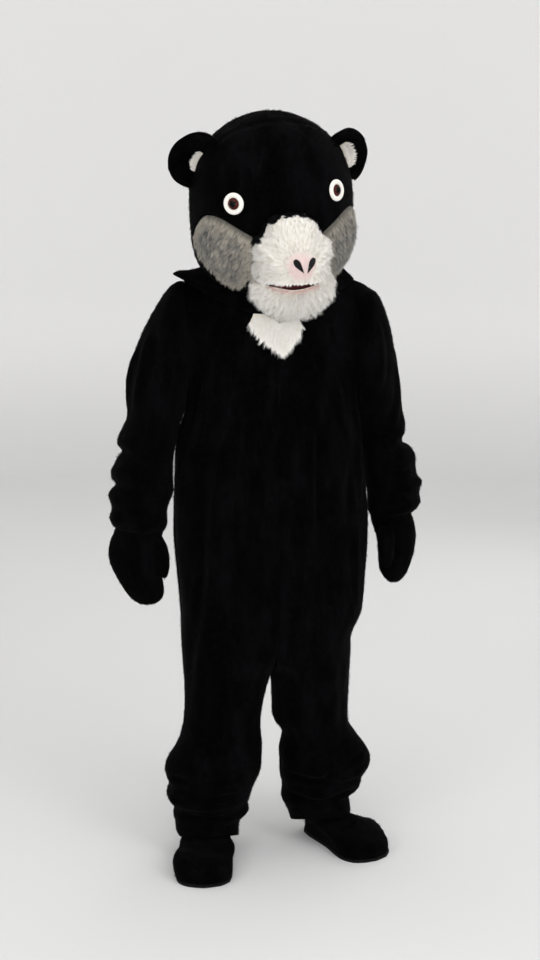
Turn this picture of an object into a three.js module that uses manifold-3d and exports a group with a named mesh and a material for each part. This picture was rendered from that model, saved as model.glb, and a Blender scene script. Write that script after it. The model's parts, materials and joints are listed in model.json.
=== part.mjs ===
// Badger costume: a full plush suit with its head, mittens and foot covers, in the hollow shape it
// keeps when worn. Millimetres, +Z up, front towards -Y, wearer's left towards +X.
// Heights in the tables are above the floor; the whole costume is then lowered so that the origin
// is the point between the wearer's shoulders that carries it.
import * as THREE from 'three';
import { mergeVertices } from 'three/addons/utils/BufferGeometryUtils.js';
import Module from 'manifold-3d';

// ---------- driving dimensions ----------
const shoulder_height = 1440;
const plush = 3;
const foam_backed_plush = 9;
const felt = 2;
const sole_thickness = 8;
const seam = 0.3;
const laid_on = 0.4;

const panel_columns = 8;
const underarm_height = 1128;
const shoulder_point = { out: 206, y: 6, z: 1424 };
const neck_point = { out: 98, y: 10, z: 1466 };
const neck_front = { y: -90, z: 1374 };
const neck_back = { y: 84, z: 1452 };
const armhole_half_depth = 90;
const yoke_rows = 7;

const head_centre = new THREE.Vector3(1, -12, 1640);
const head_yaw = 5;
const head_pitch = 12;
const head_roll = 4;
const dome_height = 199;
const head_half_width = 195;
const head_front = 187;
const head_back_depth = 188;

// ---------- colours ----------
const cloth = (color, roughness = 0.9) => new THREE.MeshStandardMaterial({ color, roughness, metalness: 0 });
const black_plush = () => cloth(0x0b0b0d);
const white_fur = () => cloth(0xf1ece0, 0.95);
const grey_fur = () => cloth(0x8f8b82, 0.95);
const ear_fur_white = () => cloth(0xf0ebe2, 0.95);
const pink_plush = () => cloth(0xe9c9c4);
const black_felt = () => cloth(0x070707);
const white_felt = () => cloth(0xf3efe6);
const mouth_red = () => cloth(0x3a1414, 0.8);
const sole_black = () => cloth(0x111112, 0.8);
const iris_brown = () => cloth(0x6b1c10, 0.12);
const pupil_black = () => cloth(0x050505, 0.08);

// ---------- small helpers ----------
const degrees = (angle) => angle * Math.PI / 180;
const lerp = (a, b, t) => a + (b - a) * t;
const range = (count) => Array.from({ length: count }, (_, i) => i);
const smooth = (t) => t * t * (3 - 2 * t);
const clamp01 = (t) => Math.min(1, Math.max(0, t));

/** Rows of a short table, as objects named by its columns. */
function table(columns, ...rows) {
  return rows.map((row) => Object.fromEntries(columns.map((name, i) => [name, row[i]])));
}

/** A table's columns read between its rows, eased so that sections flow into each other. */
function readTable(rows, key, at) {
  const rising = rows[0][key] < rows[rows.length - 1][key];
  const order = rising ? rows : [...rows].reverse();
  if (at <= order[0][key]) return { ...order[0] };
  const last = order[order.length - 1];
  if (at >= last[key]) return { ...last };
  const i = order.findIndex((row) => row[key] > at);
  const t = (at - order[i - 1][key]) / (order[i][key] - order[i - 1][key]);
  const between = (name) => lerp(order[i - 1][name], order[i][name], t);
  return Object.fromEntries(Object.keys(last).map((name) => [name, between(name)]));
}

/** Outward normals of a grid of points whose columns x rows directions turn outwards. */
function gridNormals(grid, closed) {
  const rows = grid.length;
  const columns = grid[0].length;
  const normalAt = (r, c) => {
    const after = closed ? (c + 1) % columns : Math.min(c + 1, columns - 1);
    const before = closed ? (c + columns - 1) % columns : Math.max(c - 1, 0);
    const across = grid[r][after].clone().sub(grid[r][before]);
    const along = grid[Math.min(r + 1, rows - 1)][c].clone().sub(grid[Math.max(r - 1, 0)][c]);
    return across.cross(along).normalize();
  };
  const normals = grid.map((row, r) => row.map((_, c) => normalAt(r, c)));
  for (const [pole, next] of [[0, 1], [rows - 1, rows - 2]]) {
    if (grid[pole][0].distanceTo(grid[pole][Math.floor(columns / 2)]) > 1e-6) continue;
    const mean = normals[next].reduce((sum, n) => sum.add(n), new THREE.Vector3()).normalize();
    normals[pole] = grid[pole].map(() => mean);
  }
  return normals;
}

/**
 * Closed wall: the outer grid, the same grid moved in by its thickness, and a rim round each edge.
 * `seamAxis(row, column)` names the axis that a seam's plane faces, so that its rim stays in that plane.
 */
function wall(grid, thickness, { closed = false, seamAxis = () => null, normalGrid = null } = {}) {
  const rows = grid.length;
  const columns = grid[0].length;
  const normals = normalGrid ?? gridNormals(grid, closed);
  for (const r of range(rows)) {
    for (const c of range(columns)) {
      const axis = seamAxis(r, c);
      if (axis) normals[r][c] = normals[r][c].clone().setComponent('xyz'.indexOf(axis), 0).normalize();
    }
  }
  const inner = grid.map((row, r) => row.map((p, c) => p.clone().addScaledVector(normals[r][c], -thickness)));
  const positions = [];
  for (const p of [grid, inner].flat(2)) positions.push(p.x, p.y, p.z);
  const at = (layer, r, c) => layer * rows * columns + r * columns + (closed ? c % columns : c);
  const index = [];
  const point = (i) => new THREE.Vector3().fromArray(positions, 3 * i);
  const quad = (a, b, c, d) => {
    if (point(a).distanceTo(point(c)) <= point(b).distanceTo(point(d))) index.push(a, b, c, a, c, d);
    else index.push(a, b, d, b, c, d);
  };
  const spans = closed ? columns : columns - 1;
  for (const r of range(rows - 1)) {
    for (const c of range(spans)) {
      quad(at(0, r, c), at(0, r, c + 1), at(0, r + 1, c + 1), at(0, r + 1, c));
      quad(at(1, r, c), at(1, r + 1, c), at(1, r + 1, c + 1), at(1, r, c + 1));
    }
  }
  for (const c of range(spans)) {
    quad(at(0, 0, c), at(1, 0, c), at(1, 0, c + 1), at(0, 0, c + 1));
    quad(at(0, rows - 1, c), at(0, rows - 1, c + 1), at(1, rows - 1, c + 1), at(1, rows - 1, c));
  }
  if (!closed) {
    for (const r of range(rows - 1)) {
      const end = columns - 1;
      quad(at(0, r, 0), at(0, r + 1, 0), at(1, r + 1, 0), at(1, r, 0));
      quad(at(0, r, end), at(1, r, end), at(1, r + 1, end), at(0, r + 1, end));
    }
  }
  return closedGeometry(positions, index);
}

/** Geometry with its coinciding points merged and the triangles that this flattens left out. */
function closedGeometry(positions, index) {
  const raw = new THREE.BufferGeometry();
  raw.setAttribute('position', new THREE.Float32BufferAttribute(positions, 3));
  raw.setIndex(index);
  const merged = mergeVertices(raw, 1e-3);
  const kept = [];
  const source = merged.index.array;
  for (let i = 0; i < source.length; i += 3) {
    const [a, b, c] = source.slice(i, i + 3);
    if (a !== b && b !== c && c !== a) kept.push(a, b, c);
  }
  const key = (i) => [...kept.slice(i, i + 3)].sort((p, q) => p - q).join();
  const seen = new Map();
  for (let i = 0; i < kept.length; i += 3) seen.set(key(i), (seen.get(key(i)) ?? 0) + 1);
  merged.setIndex(range(kept.length / 3).filter((t) => seen.get(key(3 * t)) === 1)
    .flatMap((t) => [...kept.slice(3 * t, 3 * t + 3)]));
  merged.computeVertexNormals();
  return merged;
}

/** Point of an upright superellipse ring; angle 0 is outwards and a quarter turn is the front. */
function ringPoint(ring, angle) {
  const power = 2 / ring.n;
  const c = Math.cos(angle);
  const s = Math.sin(angle);
  const middle = (ring.out + ring.in) / 2;
  const half = (ring.out - ring.in) / 2;
  return {
    out: middle + half * Math.sign(c) * Math.abs(c) ** power,
    y: (ring.front + ring.back) / 2 + (ring.front - ring.back) / 2 * Math.sign(s) * Math.abs(s) ** power,
  };
}

const costume = new THREE.Group();
const suit = new THREE.Group();
costume.add(suit);

function addPiece(group, name, geometry, material) {
  const mesh = new THREE.Mesh(geometry, material);
  mesh.name = name;
  group.add(mesh);
  return mesh;
}

// ---------- suit body ----------
// One half of the suit is a stack of rings. `out` and `in` are the ring's outer and inner edges from
// the centre plane; where `in` is negative the ring crosses the plane and ends there at a seam.
const body_columns = ['z', 'out', 'in', 'front', 'back', 'n'];
const torso_depths = [
  [-226, -158, 150, 2.3],
  [-236, -160, 150, 2.3],
  [-240, -158, 146, 2.3],
  [-236, -152, 140, 2.3],
  [-222, -145, 134, 2.3],
  [-206, -138, 128, 2.3],
];
const torsoRings = (...edges) => edges.map(([z, out], i) => [z, out, ...torso_depths[i]]);
const half_rings = {
  right: table(body_columns,
    [38.6, 230, 88, -105, 66, 2.2],
    [66, 237, 84, -105, 74, 2.2],
    [86, 243, 74, -104, 78, 2.2],
    [104, 247, 56, -104, 84, 2.2],
    [124, 240, 57, -98, 78, 2.2],
    [152, 264, 52, -118, 98, 2.2],
    [178, 255, 38, -106, 88, 2.2],
    [212, 263, 24, -118, 100, 2.2],
    [246, 257, 20, -112, 94, 2.2],
    [284, 236, 18, -98, 84, 2.2],
    [340, 221, 26, -98, 84, 2.2],
    [400, 218, 18, -108, 96, 2.2],
    [458, 219, 1, -122, 112, 2.2],
    [488, 221, -22, -132, 122, 2.2],
    [522, 223, -64, -141, 131, 2.2],
    [560, 224, -120, -148, 140, 2.3],
    [620, 225, -178, -154, 146, 2.3],
    ...torsoRings([700, 230], [790, 238], [860, 240], [930, 238], [1000, 236], [1065, 229])),
  left: table(body_columns,
    [51.4, 214, 60, -58, 122, 2.2],
    [74, 214, 54, -57, 122, 2.2],
    [96, 214, 44, -52, 122, 2.2],
    [118, 214, 36, -46, 114, 2.2],
    [146, 240, 40, -60, 124, 2.2],
    [170, 244, 32, -58, 120, 2.2],
    [200, 263, 32, -70, 128, 2.2],
    [232, 261, 34, -66, 120, 2.2],
    [268, 236, 38, -58, 108, 2.2],
    [304, 210, 36, -62, 104, 2.2],
    [340, 203, 12, -72, 106, 2.2],
    [400, 202, 6, -92, 112, 2.2],
    [458, 202, 1, -116, 118, 2.2],
    [488, 203, -22, -128, 124, 2.2],
    [522, 205, -64, -138, 132, 2.2],
    [566, 208, -120, -146, 140, 2.3],
    [602, 226, -170, -152, 144, 2.3],
    [640, 235, -200, -155, 147, 2.3],
    ...torsoRings([700, 238], [790, 243], [860, 243], [930, 238], [1000, 231], [1065, 224])),
};
const underarm_rings = {
  right: { z: underarm_height, out: 205, in: -196, front: -130, back: 122, n: 2.3 },
  left: { z: underarm_height, out: 211, in: -196, front: -130, back: 122, n: 2.3 },
};
const hem_rise = { front: 30, back: -14, fades_at: 122 };

// Long soft folds: where each starts and ends round the half ring, and how far it stands out.
const long_folds = {
  right: table(['low', 'high', 'angle_low', 'angle_high', 'width', 'height'],
    [520, 1110, 54, 66, 13, 12],
    [540, 1080, 16, 24, 13, 8],
    [520, 1080, -50, -62, 14, 11]),
  left: table(['low', 'high', 'angle_low', 'angle_high', 'width', 'height'],
    [530, 1120, 40, 52, 13, 12],
    [520, 1000, 84, 78, 12, 8],
    [520, 1060, -46, -56, 14, 11]),
};

function foldHeight(side, z, angle) {
  return long_folds[side].reduce((sum, fold) => {
    const t = (z - fold.low) / (fold.high - fold.low);
    if (t <= 0 || t >= 1) return sum;
    const crest = lerp(fold.angle_low, fold.angle_high, t);
    const off = (angle * 180 / Math.PI - crest) / fold.width;
    const ridge = Math.exp(-off * off) - 0.35 * Math.exp(-off * off / 6);
    return sum + fold.height * Math.sin(Math.PI * t) ** 0.7 * ridge;
  }, 0);
}

/** The hem rides up over the instep and drops at the heel. */
function hemRise(ring, y) {
  const fade = clamp01((hem_rise.fades_at - ring.z) / (hem_rise.fades_at - 50));
  const forward = ((ring.front + ring.back) / 2 - y) / ((ring.back - ring.front) / 2);
  return fade * forward * (forward > 0 ? hem_rise.front : -hem_rise.back);
}

/** Angle round a ring at which it reaches the centre plane, or half a turn below the crotch. */
function centreAngle(ring) {
  const middle = (ring.out + ring.in) / 2;
  const half = (ring.out - ring.in) / 2;
  if (middle >= half) return Math.PI;
  return Math.acos(-Math.sign(middle) * Math.abs(middle / half) ** (ring.n / 2));
}

/** One row of a quarter panel: from the side seam to the centre or inside-leg seam. */
function panelRow(side, face, ring, startAngle = 0) {
  const gap = seam / 2 / 90;
  const end = centreAngle(ring);
  const leg = end === Math.PI;
  return range(panel_columns + 1).map((i) => {
    const t = i / panel_columns;
    const angle = lerp(startAngle + gap, leg ? end - gap : end, t);
    const p = ringPoint(ring, face * angle);
    const push = foldHeight(side, ring.z, face * angle);
    const out = Math.max(p.out + push * Math.cos(angle), leg ? -Infinity : seam / 2);
    const y = p.y - face * push * Math.sin(angle);
    return { out: !leg && i === panel_columns ? seam / 2 : out, y, z: ring.z + hemRise(ring, y) };
  });
}

/** Top edge of a quarter: along the shoulder seam to the neck, then round the neckline to the centre. */
function topEdge(face, t) {
  const shoulder_share = 0.55;
  const neck = face > 0 ? neck_front : neck_back;
  const off_ridge = -face * seam / 2;
  if (t <= shoulder_share) {
    const s = t / shoulder_share;
    return {
      out: lerp(shoulder_point.out, neck_point.out, s),
      y: lerp(shoulder_point.y, neck_point.y, s) + off_ridge,
      z: lerp(shoulder_point.z, neck_point.z, s) - 6 * Math.sin(Math.PI * s),
    };
  }
  const quarter = (t - shoulder_share) / (1 - shoulder_share) * Math.PI / 2;
  return {
    out: Math.max(neck_point.out * Math.cos(quarter), seam / 2),
    y: lerp(neck_point.y, neck.y, Math.sin(quarter)) + off_ridge * Math.cos(quarter),
    z: lerp(neck_point.z, neck.z, Math.sin(quarter)),
  };
}

/** Half depth of the armhole's front or back edge at a share of the way up from the underarm. */
function armholeDepth(face, level) {
  const scoop = face > 0 ? 1 : 0.86;
  return armhole_half_depth * scoop * Math.sin(Math.PI * Math.min(level, 1) ** 0.8) ** 0.75;
}

/** Row above the underarm: from the armhole edge to the centre seam, rising to the top edge. */
function yokeRow(side, face, level) {
  const underarm = underarm_rings[side];
  const base = panelRow(side, face, underarm);
  const middle_y = (underarm.front + underarm.back) / 2;
  const rounding = (1 - level ** 2.6) ** (1 / 2.6);
  return range(panel_columns + 1).map((i) => {
    const t = i / panel_columns;
    const top = topEdge(face, t);
    const low = base[i];
    const y = lerp(top.y, low.y, rounding);
    const edge_y = lerp(middle_y, shoulder_point.y, level) - face * (armholeDepth(face, level) + seam / 2);
    const to_edge = (1 - t) ** 3 * Math.sin(Math.PI * clamp01(level)) ** 0.35;
    return {
      out: Math.max(lerp(low.out, top.out, smooth(level)), seam / 2),
      y: lerp(y, edge_y, level < 1 ? to_edge : 0),
      z: lerp(low.z, top.z, level),
    };
  });
}

function toWorld(side, p) {
  return new THREE.Vector3(side === 'right' ? -p.out : p.out, p.y, p.z);
}

function bodyPanelRows(side, face) {
  const rows = half_rings[side].map((ring) => panelRow(side, face, ring));
  rows.push(panelRow(side, face, underarm_rings[side]));
  for (const k of range(yoke_rows)) rows.push(yokeRow(side, face, (k + 1) / yoke_rows));
  return rows;
}

/** A quarter panel as a wall. Its columns run counter-clockwise seen from above. */
function bodyPanel(side, face) {
  const reverse = (side === 'left') === (face > 0);
  const rows = bodyPanelRows(side, face).map((row) => row.map((p) => toWorld(side, p)));
  const grid = reverse ? rows.map((row) => [...row].reverse()) : rows;
  const crotch = half_rings[side].findIndex((ring) => ring.in < 0);
  const seamAxis = (r, c) => {
    const i = reverse ? panel_columns - c : c;
    const in_armhole = r > half_rings[side].length && r < rows.length - 1;
    if (i === 0) return in_armhole ? 'x' : 'y';
    if (r === rows.length - 1 && i / panel_columns < 0.6) return 'y';
    if (i === panel_columns) return r < crotch ? 'y' : 'x';
    return null;
  };
  return wall(grid, plush, { seamAxis });
}

for (const side of ['right', 'left']) {
  for (const [name, face] of [['front', 1], ['back', -1]]) {
    addPiece(suit, `${name}_${side}`, bodyPanel(side, face), black_plush());
  }
}

// ---------- sleeves ----------
// Each ring is given by its outer (upper) and inner (lower) edge as seen from the front.
const sleeve_columns = ['top_out', 'top_z', 'low_out', 'low_z', 'y', 'half_depth'];
const sleeve_rings = {
  right: table(sleeve_columns,
    [242, 1409, 212, 1119, -6, 95],
    [276, 1378, 219, 1102, -10, 97],
    [314, 1312, 227, 1078, -18, 96],
    [340, 1240, 230, 1058, -26, 92],
    [348, 1172, 236, 1036, -34, 88],
    [349, 1116, 242, 1008, -42, 84],
    [375, 1066, 242, 986, -48, 88],
    [369, 1028, 243, 962, -50, 80],
    [395, 988, 242, 934, -52, 86],
    [384, 956, 249, 914, -52, 76],
    [402, 926, 257, 896, -52, 80],
    [392, 898, 259, 876, -52, 71],
    [400, 872, 258, 856, -52, 72],
    [389, 848, 264, 838, -52, 60]),
  left: table(sleeve_columns,
    [240, 1414, 217, 1119, 0, 94],
    [268, 1399, 222, 1102, 4, 95],
    [296, 1334, 228, 1078, 12, 94],
    [312, 1262, 231, 1056, 22, 90],
    [325, 1196, 233, 1034, 32, 86],
    [332, 1138, 236, 1010, 38, 83],
    [348, 1076, 243, 988, 42, 86],
    [338, 1042, 241, 968, 42, 78],
    [376, 1004, 249, 944, 42, 84],
    [372, 970, 250, 926, 40, 77],
    [392, 936, 254, 906, 36, 80],
    [384, 906, 254, 884, 32, 72],
    [389, 882, 254, 866, 30, 70],
    [372, 858, 258, 850, 28, 58]),
};

/** The armhole, from the underarm up its front to the shoulder and down its back. */
function armholeEdge(side) {
  const edge = (face) => bodyPanelRows(side, face).slice(-yoke_rows - 1).map((row) => row[0]);
  const front = edge(1);
  const back = edge(-1).reverse();
  return [...front, ...back.slice(1, -1)];
}

/** A sleeve's ring, from its underarm point round the front and over the top. */
function sleeveRow(ring) {
  const columns = 2 * yoke_rows;
  return range(columns).map((i) => {
    const angle = 2 * Math.PI * i / columns;
    const rise = (1 - Math.cos(angle)) / 2;
    return {
      out: lerp(ring.low_out, ring.top_out, rise),
      y: ring.y - ring.half_depth * Math.sin(angle),
      z: lerp(ring.low_z, ring.top_z, rise),
    };
  });
}

function sleeve(side) {
  const armhole = armholeEdge(side).map((p) => ({ ...p, out: p.out + 3 * seam }));
  const rows = [armhole, ...sleeve_rings[side].map(sleeveRow)];
  const grid = rows.map((row) => row.map((p) => toWorld(side, p)));
  return wall(side === 'right' ? grid : grid.map((row) => [...row].reverse()), plush, { closed: true });
}

for (const side of ['right', 'left']) addPiece(suit, `sleeve_${side}`, sleeve(side), black_plush());

// ---------- mittens ----------
const wasm = await Module();
wasm.setup();

const limb_columns = ['z', 'out', 'y', 'half_width', 'half_depth'];
const hand_rings = {
  right: table(limb_columns,
    [872, 326, -52, 57, 55],
    [844, 326, -52, 58.4, 56.4],
    [820, 334, -54, 61, 50],
    [790, 341, -56, 61, 46],
    [755, 337, -58, 60, 43],
    [722, 327, -60, 54, 39],
    [694, 318, -62, 48, 34],
    [674, 312, -64, 38, 27],
    [662, 311, -65, 23, 17]),
  left: table(limb_columns,
    [882, 313, 28, 50, 53],
    [855, 313, 28, 51.4, 54.4],
    [828, 319, 24, 54, 46],
    [794, 327, 20, 50, 44],
    [754, 326, 16, 45, 42],
    [718, 321, 12, 38, 38],
    [696, 319, 9, 28, 30],
    [682, 318, 7, 15, 18]),
};
const thumb_rings = {
  right: table(limb_columns,
    [838, 296, -62, 16, 18],
    [806, 283, -66, 21, 23],
    [770, 276, -70, 20, 22],
    [744, 273, -72, 16, 18],
    [728, 272, -73, 9, 10]),
  left: table(limb_columns,
    [832, 292, -14, 16, 16],
    [802, 289, -30, 20, 20],
    [770, 289, -36, 19, 19],
    [744, 289, -40, 15, 15],
    [730, 289, -42, 8, 8]),
};
const hand_segments = 14;
const thumb_segments = 8;

/** Closed solid of a stack of rings that goes down, each ring shrunk by `inset`. */
function limb(side, rings, segments, inset, lift_first) {
  const sign = side === 'right' ? -1 : 1;
  const positions = [];
  const last = rings.length - 1;
  rings.forEach((ring, r) => {
    const z = ring.z + (r === 0 ? lift_first : 0) + (r === last ? inset : 0);
    for (const i of range(segments)) {
      const angle = 2 * Math.PI * i / segments;
      const x = sign * ring.out + (ring.half_width - inset) * Math.cos(angle);
      positions.push(x, ring.y + (ring.half_depth - inset) * Math.sin(angle), z);
    }
  });
  positions.push(sign * rings[0].out, rings[0].y, rings[0].z + lift_first);
  positions.push(sign * rings[last].out, rings[last].y, rings[last].z - (inset ? 0 : plush));
  const index = [];
  for (const r of range(last)) {
    for (const i of range(segments)) {
      const [a, b] = [r * segments + i, r * segments + (i + 1) % segments];
      index.push(a, a + segments, b + segments, a, b + segments, b);
    }
  }
  const top = rings.length * segments;
  for (const i of range(segments)) {
    const next = (i + 1) % segments;
    index.push(top, i, next);
    index.push(top + 1, last * segments + next, last * segments + i);
  }
  return new wasm.Manifold(new wasm.Mesh({
    numProp: 3,
    vertProperties: new Float32Array(positions),
    triVerts: new Uint32Array(index),
  }));
}

function fromManifold(solid) {
  const mesh = solid.getMesh();
  return closedGeometry([...mesh.vertProperties], [...mesh.triVerts]);
}

/** A mitten: hand and thumb joined, hollow, open at the cuff. */
function mitten(side) {
  const outer = limb(side, hand_rings[side], hand_segments, 0, 0)
    .add(limb(side, thumb_rings[side], thumb_segments, 0, 0));
  const inner = limb(side, hand_rings[side], hand_segments, plush, 5)
    .add(limb(side, thumb_rings[side], thumb_segments, plush, 0));
  return fromManifold(outer.subtract(inner));
}

for (const side of ['right', 'left']) addPiece(suit, `mitten_${side}`, mitten(side), black_plush());

// ---------- foot covers ----------
const feet = {
  right: { x: -184, y: -102, length: 292, yaw: -3, ankle_x: -158, ankle_y: 0 },
  left: { x: 187, y: -20, length: 280, yaw: 26, ankle_x: 137, ankle_y: 34 },
};
// Half width of the sole along its length, from the heel (-1) to the toe (1).
const foot_outline = table(['forward', 'half_width'],
  [-1, 0], [-0.95, 25], [-0.82, 40], [-0.6, 47], [0, 52],
  [0.35, 63], [0.6, 68], [0.82, 59], [0.95, 36], [1, 0]);
const sole_margin = 1.5;
const toe_height = 36;
const ankle_opening = { half_width: 42, half_depth: 44, z: 96 };
const foot_segments = 20;
const upper_steps = [0, 0.04, 0.14, 0.3, 0.52, 0.78, 1];

/** Point of a foot's outline on the floor, `margin` beyond it; a quarter turn is the heel. */
function footprint(foot, angle, margin = 0) {
  const c = Math.cos(angle);
  const s = Math.sin(angle);
  const backward = Math.sign(s) * Math.abs(s) ** 0.9;
  const { half_width } = readTable(foot_outline, 'forward', -backward);
  const local = new THREE.Vector3(
    Math.sign(c) * half_width + margin * c,
    backward * foot.length / 2 + margin * s,
    0);
  local.applyAxisAngle(new THREE.Vector3(0, 0, 1), degrees(foot.yaw));
  return local.add(new THREE.Vector3(foot.x, foot.y, 0));
}

function footUpper(foot) {
  const rows = upper_steps.map((u) => range(foot_segments).map((i) => {
    const angle = 2 * Math.PI * i / foot_segments;
    const turned = angle - degrees(foot.yaw);
    const edge = footprint(foot, turned);
    const top = new THREE.Vector3(
      foot.ankle_x + ankle_opening.half_width * Math.cos(angle),
      foot.ankle_y + ankle_opening.half_depth * Math.sin(angle),
      0);
    const p = edge.lerp(top, u);
    const toe = (1 - (1 - Math.min(u / 0.42, 1)) ** 2.3) ** (1 / 2.3);
    const instep = Math.max(0, (u - 0.3) / 0.7) ** 3;
    p.z = sole_thickness + seam + toe_height * toe + (ankle_opening.z - toe_height) * instep;
    return p;
  }));
  return wall(rows, plush, { closed: true, seamAxis: (r) => (r === 0 ? 'z' : null) });
}

function footSole(foot) {
  const outline = new THREE.Shape(range(foot_segments * 2).map((i) => {
    const p = footprint(foot, Math.PI * i / foot_segments - degrees(foot.yaw), sole_margin);
    return new THREE.Vector2(p.x, p.y);
  }));
  return new THREE.ExtrudeGeometry(outline, { depth: sole_thickness, bevelEnabled: false });
}

for (const [side, foot] of Object.entries(feet)) {
  addPiece(suit, `foot_upper_${side}`, footUpper(foot), black_plush());
  addPiece(suit, `foot_sole_${side}`, footSole(foot), sole_black());
}

// ---------- head ----------
// The head is one rounded surface, cut into panels. A place on it is given by its turn from the
// front (degrees, positive towards the wearer's left) and its height from the head's centre.
const head = new THREE.Group();
head.position.copy(head_centre);
head.rotation.set(degrees(head_pitch), degrees(-head_roll), degrees(head_yaw), 'ZXY');
costume.add(head);

const lower_head = table(['h', 'half_width', 'front', 'back'],
  [0, head_half_width, head_front, head_back_depth],
  [-60, 196, 190, 186],
  [-110, 194, 188, 178],
  [-150, 184, 174, 166],
  [-190, 160, 152, 146],
  [-225, 132, 124, 120]);
const head_exponent = 2.12;

function headPoint(turn, h, lift = 0) {
  const above = Math.max(h, 0) / dome_height;
  const shrink = Math.sqrt(Math.max(0, 1 - above * above));
  const ring = readTable(lower_head, 'h', Math.min(h, 0));
  const s = Math.sin(degrees(turn));
  const c = Math.cos(degrees(turn));
  const depth = c > 0 ? ring.front : ring.back;
  const power = 2 / head_exponent;
  const p = new THREE.Vector3(
    shrink * ring.half_width * Math.sign(s) * Math.abs(s) ** power,
    -shrink * depth * Math.sign(c) * Math.abs(c) ** power,
    h);
  return lift ? p.addScaledVector(headNormal(turn, h), lift) : p;
}

function headNormal(turn, h) {
  if (h > dome_height - 0.01) return new THREE.Vector3(0, 0, 1);
  const across = headPoint(turn + 0.5, h).sub(headPoint(turn - 0.5, h));
  const step = Math.min(0.5, (dome_height - h) / 2);
  const up = headPoint(turn, h + step).sub(headPoint(turn, h - step));
  return across.cross(up).normalize();
}

// Seam lines on one side of the face; the other side mirrors them.
const crown_seam = table(['turn', 'h'],
  [0, -8], [9, -9], [14, -24], [19, -60], [24, -60], [34, -42], [43, -27], [52, -17], [62, -16], [71, -30],
  [78, -55], [83, -82], [180, -82]);
const cheek_seam = table(['turn', 'h'],
  [24, -146], [28, -164], [36, -186], [45, -187], [58, -166], [70, -134], [78, -112], [83, -92], [180, -92]);
const neck_edge = table(['turn', 'h'],
  [0, -213], [40, -205], [90, -172], [180, -150]);
const side_turn = 83;
const muzzle_turn = 24;
const mouth_h = -140;

const seamHeight = (rows, turn) => readTable(rows, 'turn', Math.abs(turn)).h;
const crownHeight = (turn) => seamHeight(crown_seam, turn);
const half_gap = seam / 2;

/** Panel of the head between two seam heights, over a list of turns. */
function headPanel(turns, lowAt, highAt, row_count, closed = false) {
  const places = range(row_count + 1).map((r) => turns.map((turn) => {
    const low = lowAt(turn);
    const high = highAt(turn);
    return [turn, high === dome_height ? domeStep(low, r / row_count) : lerp(low, high, r / row_count)];
  }));
  const grid = places.map((row) => row.map(([turn, h]) => headPoint(turn, h)));
  const normalGrid = places.map((row) => row.map(([turn, h]) => headNormal(turn, h)));
  return wall(grid, foam_backed_plush, { closed, normalGrid });
}

/** Heights that rise from `low` to the top in steps of even arc. */
function domeStep(low, t) {
  const start = Math.asin(low / dome_height);
  return dome_height * Math.sin(lerp(start, Math.PI / 2, t));
}

const spread = (from, to, count) => range(count + 1).map((i) => lerp(from, to, i / count));
const turn_gap = 0.1;

const half_face_turns = [9, 14, 19, 24, 34, 43, 52, 62, 71, 78, side_turn];
const face_turns = [...half_face_turns.map((turn) => -turn).reverse(), 0, ...half_face_turns];
const back_turns = spread(83, 277, 16).slice(1, -1).map((turn) => (turn > 180 ? turn - 360 : turn));
const crown_turns = [...face_turns, ...back_turns];

addPiece(head, 'head_crown',
  headPanel(crown_turns, (turn) => crownHeight(turn) + half_gap, () => dome_height, 7, true), black_plush());

addPiece(head, 'head_back',
  headPanel(spread(side_turn + turn_gap, 360 - side_turn - turn_gap, 16),
    (turn) => seamHeight(neck_edge, turn > 180 ? 360 - turn : turn),
    () => -82 - half_gap, 5), black_plush());

const throatTop = (turn) => (Math.abs(turn) < 28 ? -203 - seam : seamHeight(cheek_seam, turn) - half_gap);
const throat_turns = [-83, -78, -70, -58, -45, -36, -28.2, -28, -14, 0, 14, 28, 28.2, 36, 45, 58, 70, 78, 83];
addPiece(head, 'throat',
  headPanel(throat_turns.map((turn) => turn * (side_turn - turn_gap) / side_turn),
    (turn) => seamHeight(neck_edge, turn), throatTop, 3), black_plush());

// The cheeks are grey fur pads that stand a little proud of the head.
const cheek_swell = 13;
for (const [side, sign] of [['right', -1], ['left', 1]]) {
  const turns = spread(muzzle_turn + turn_gap, side_turn - turn_gap, 9).map((turn) => sign * turn);
  if (sign < 0) turns.reverse();
  const row_count = 5;
  const places = range(row_count + 1).map((r) => turns.map((turn) => {
    const share = (Math.abs(turn) - muzzle_turn) / (side_turn - muzzle_turn);
    const h = lerp(seamHeight(cheek_seam, turn) + half_gap, crownHeight(turn) - half_gap, r / row_count);
    const swell = cheek_swell * Math.sin(Math.PI * r / row_count) ** 0.7 * Math.sin(Math.PI * share) ** 0.6;
    return [turn, h, swell];
  }));
  const grid = places.map((row) => row.map(([turn, h, swell]) => headPoint(turn, h, swell)));
  const normalGrid = places.map((row) => row.map(([turn, h]) => headNormal(turn, h)));
  addPiece(head, `cheek_${side}`, wall(grid, foam_backed_plush, { normalGrid }), grey_fur());
}

// ---------- muzzle, jaw and mouth ----------
const nose_reach = 304;
const jaw_reach = 284;
const muzzle_sharpness = 2.5;
const upper_fullness = 0.12;
const jaw_fullness = { across: 0.34, down: 1 };
const lip_gap = { corner: 6, front: 9 };
const lip_drop = 6;
const muzzle_rows = [1, 0.95, 0.86, 0.73, 0.56, 0.36, 0.16, 0];

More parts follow.
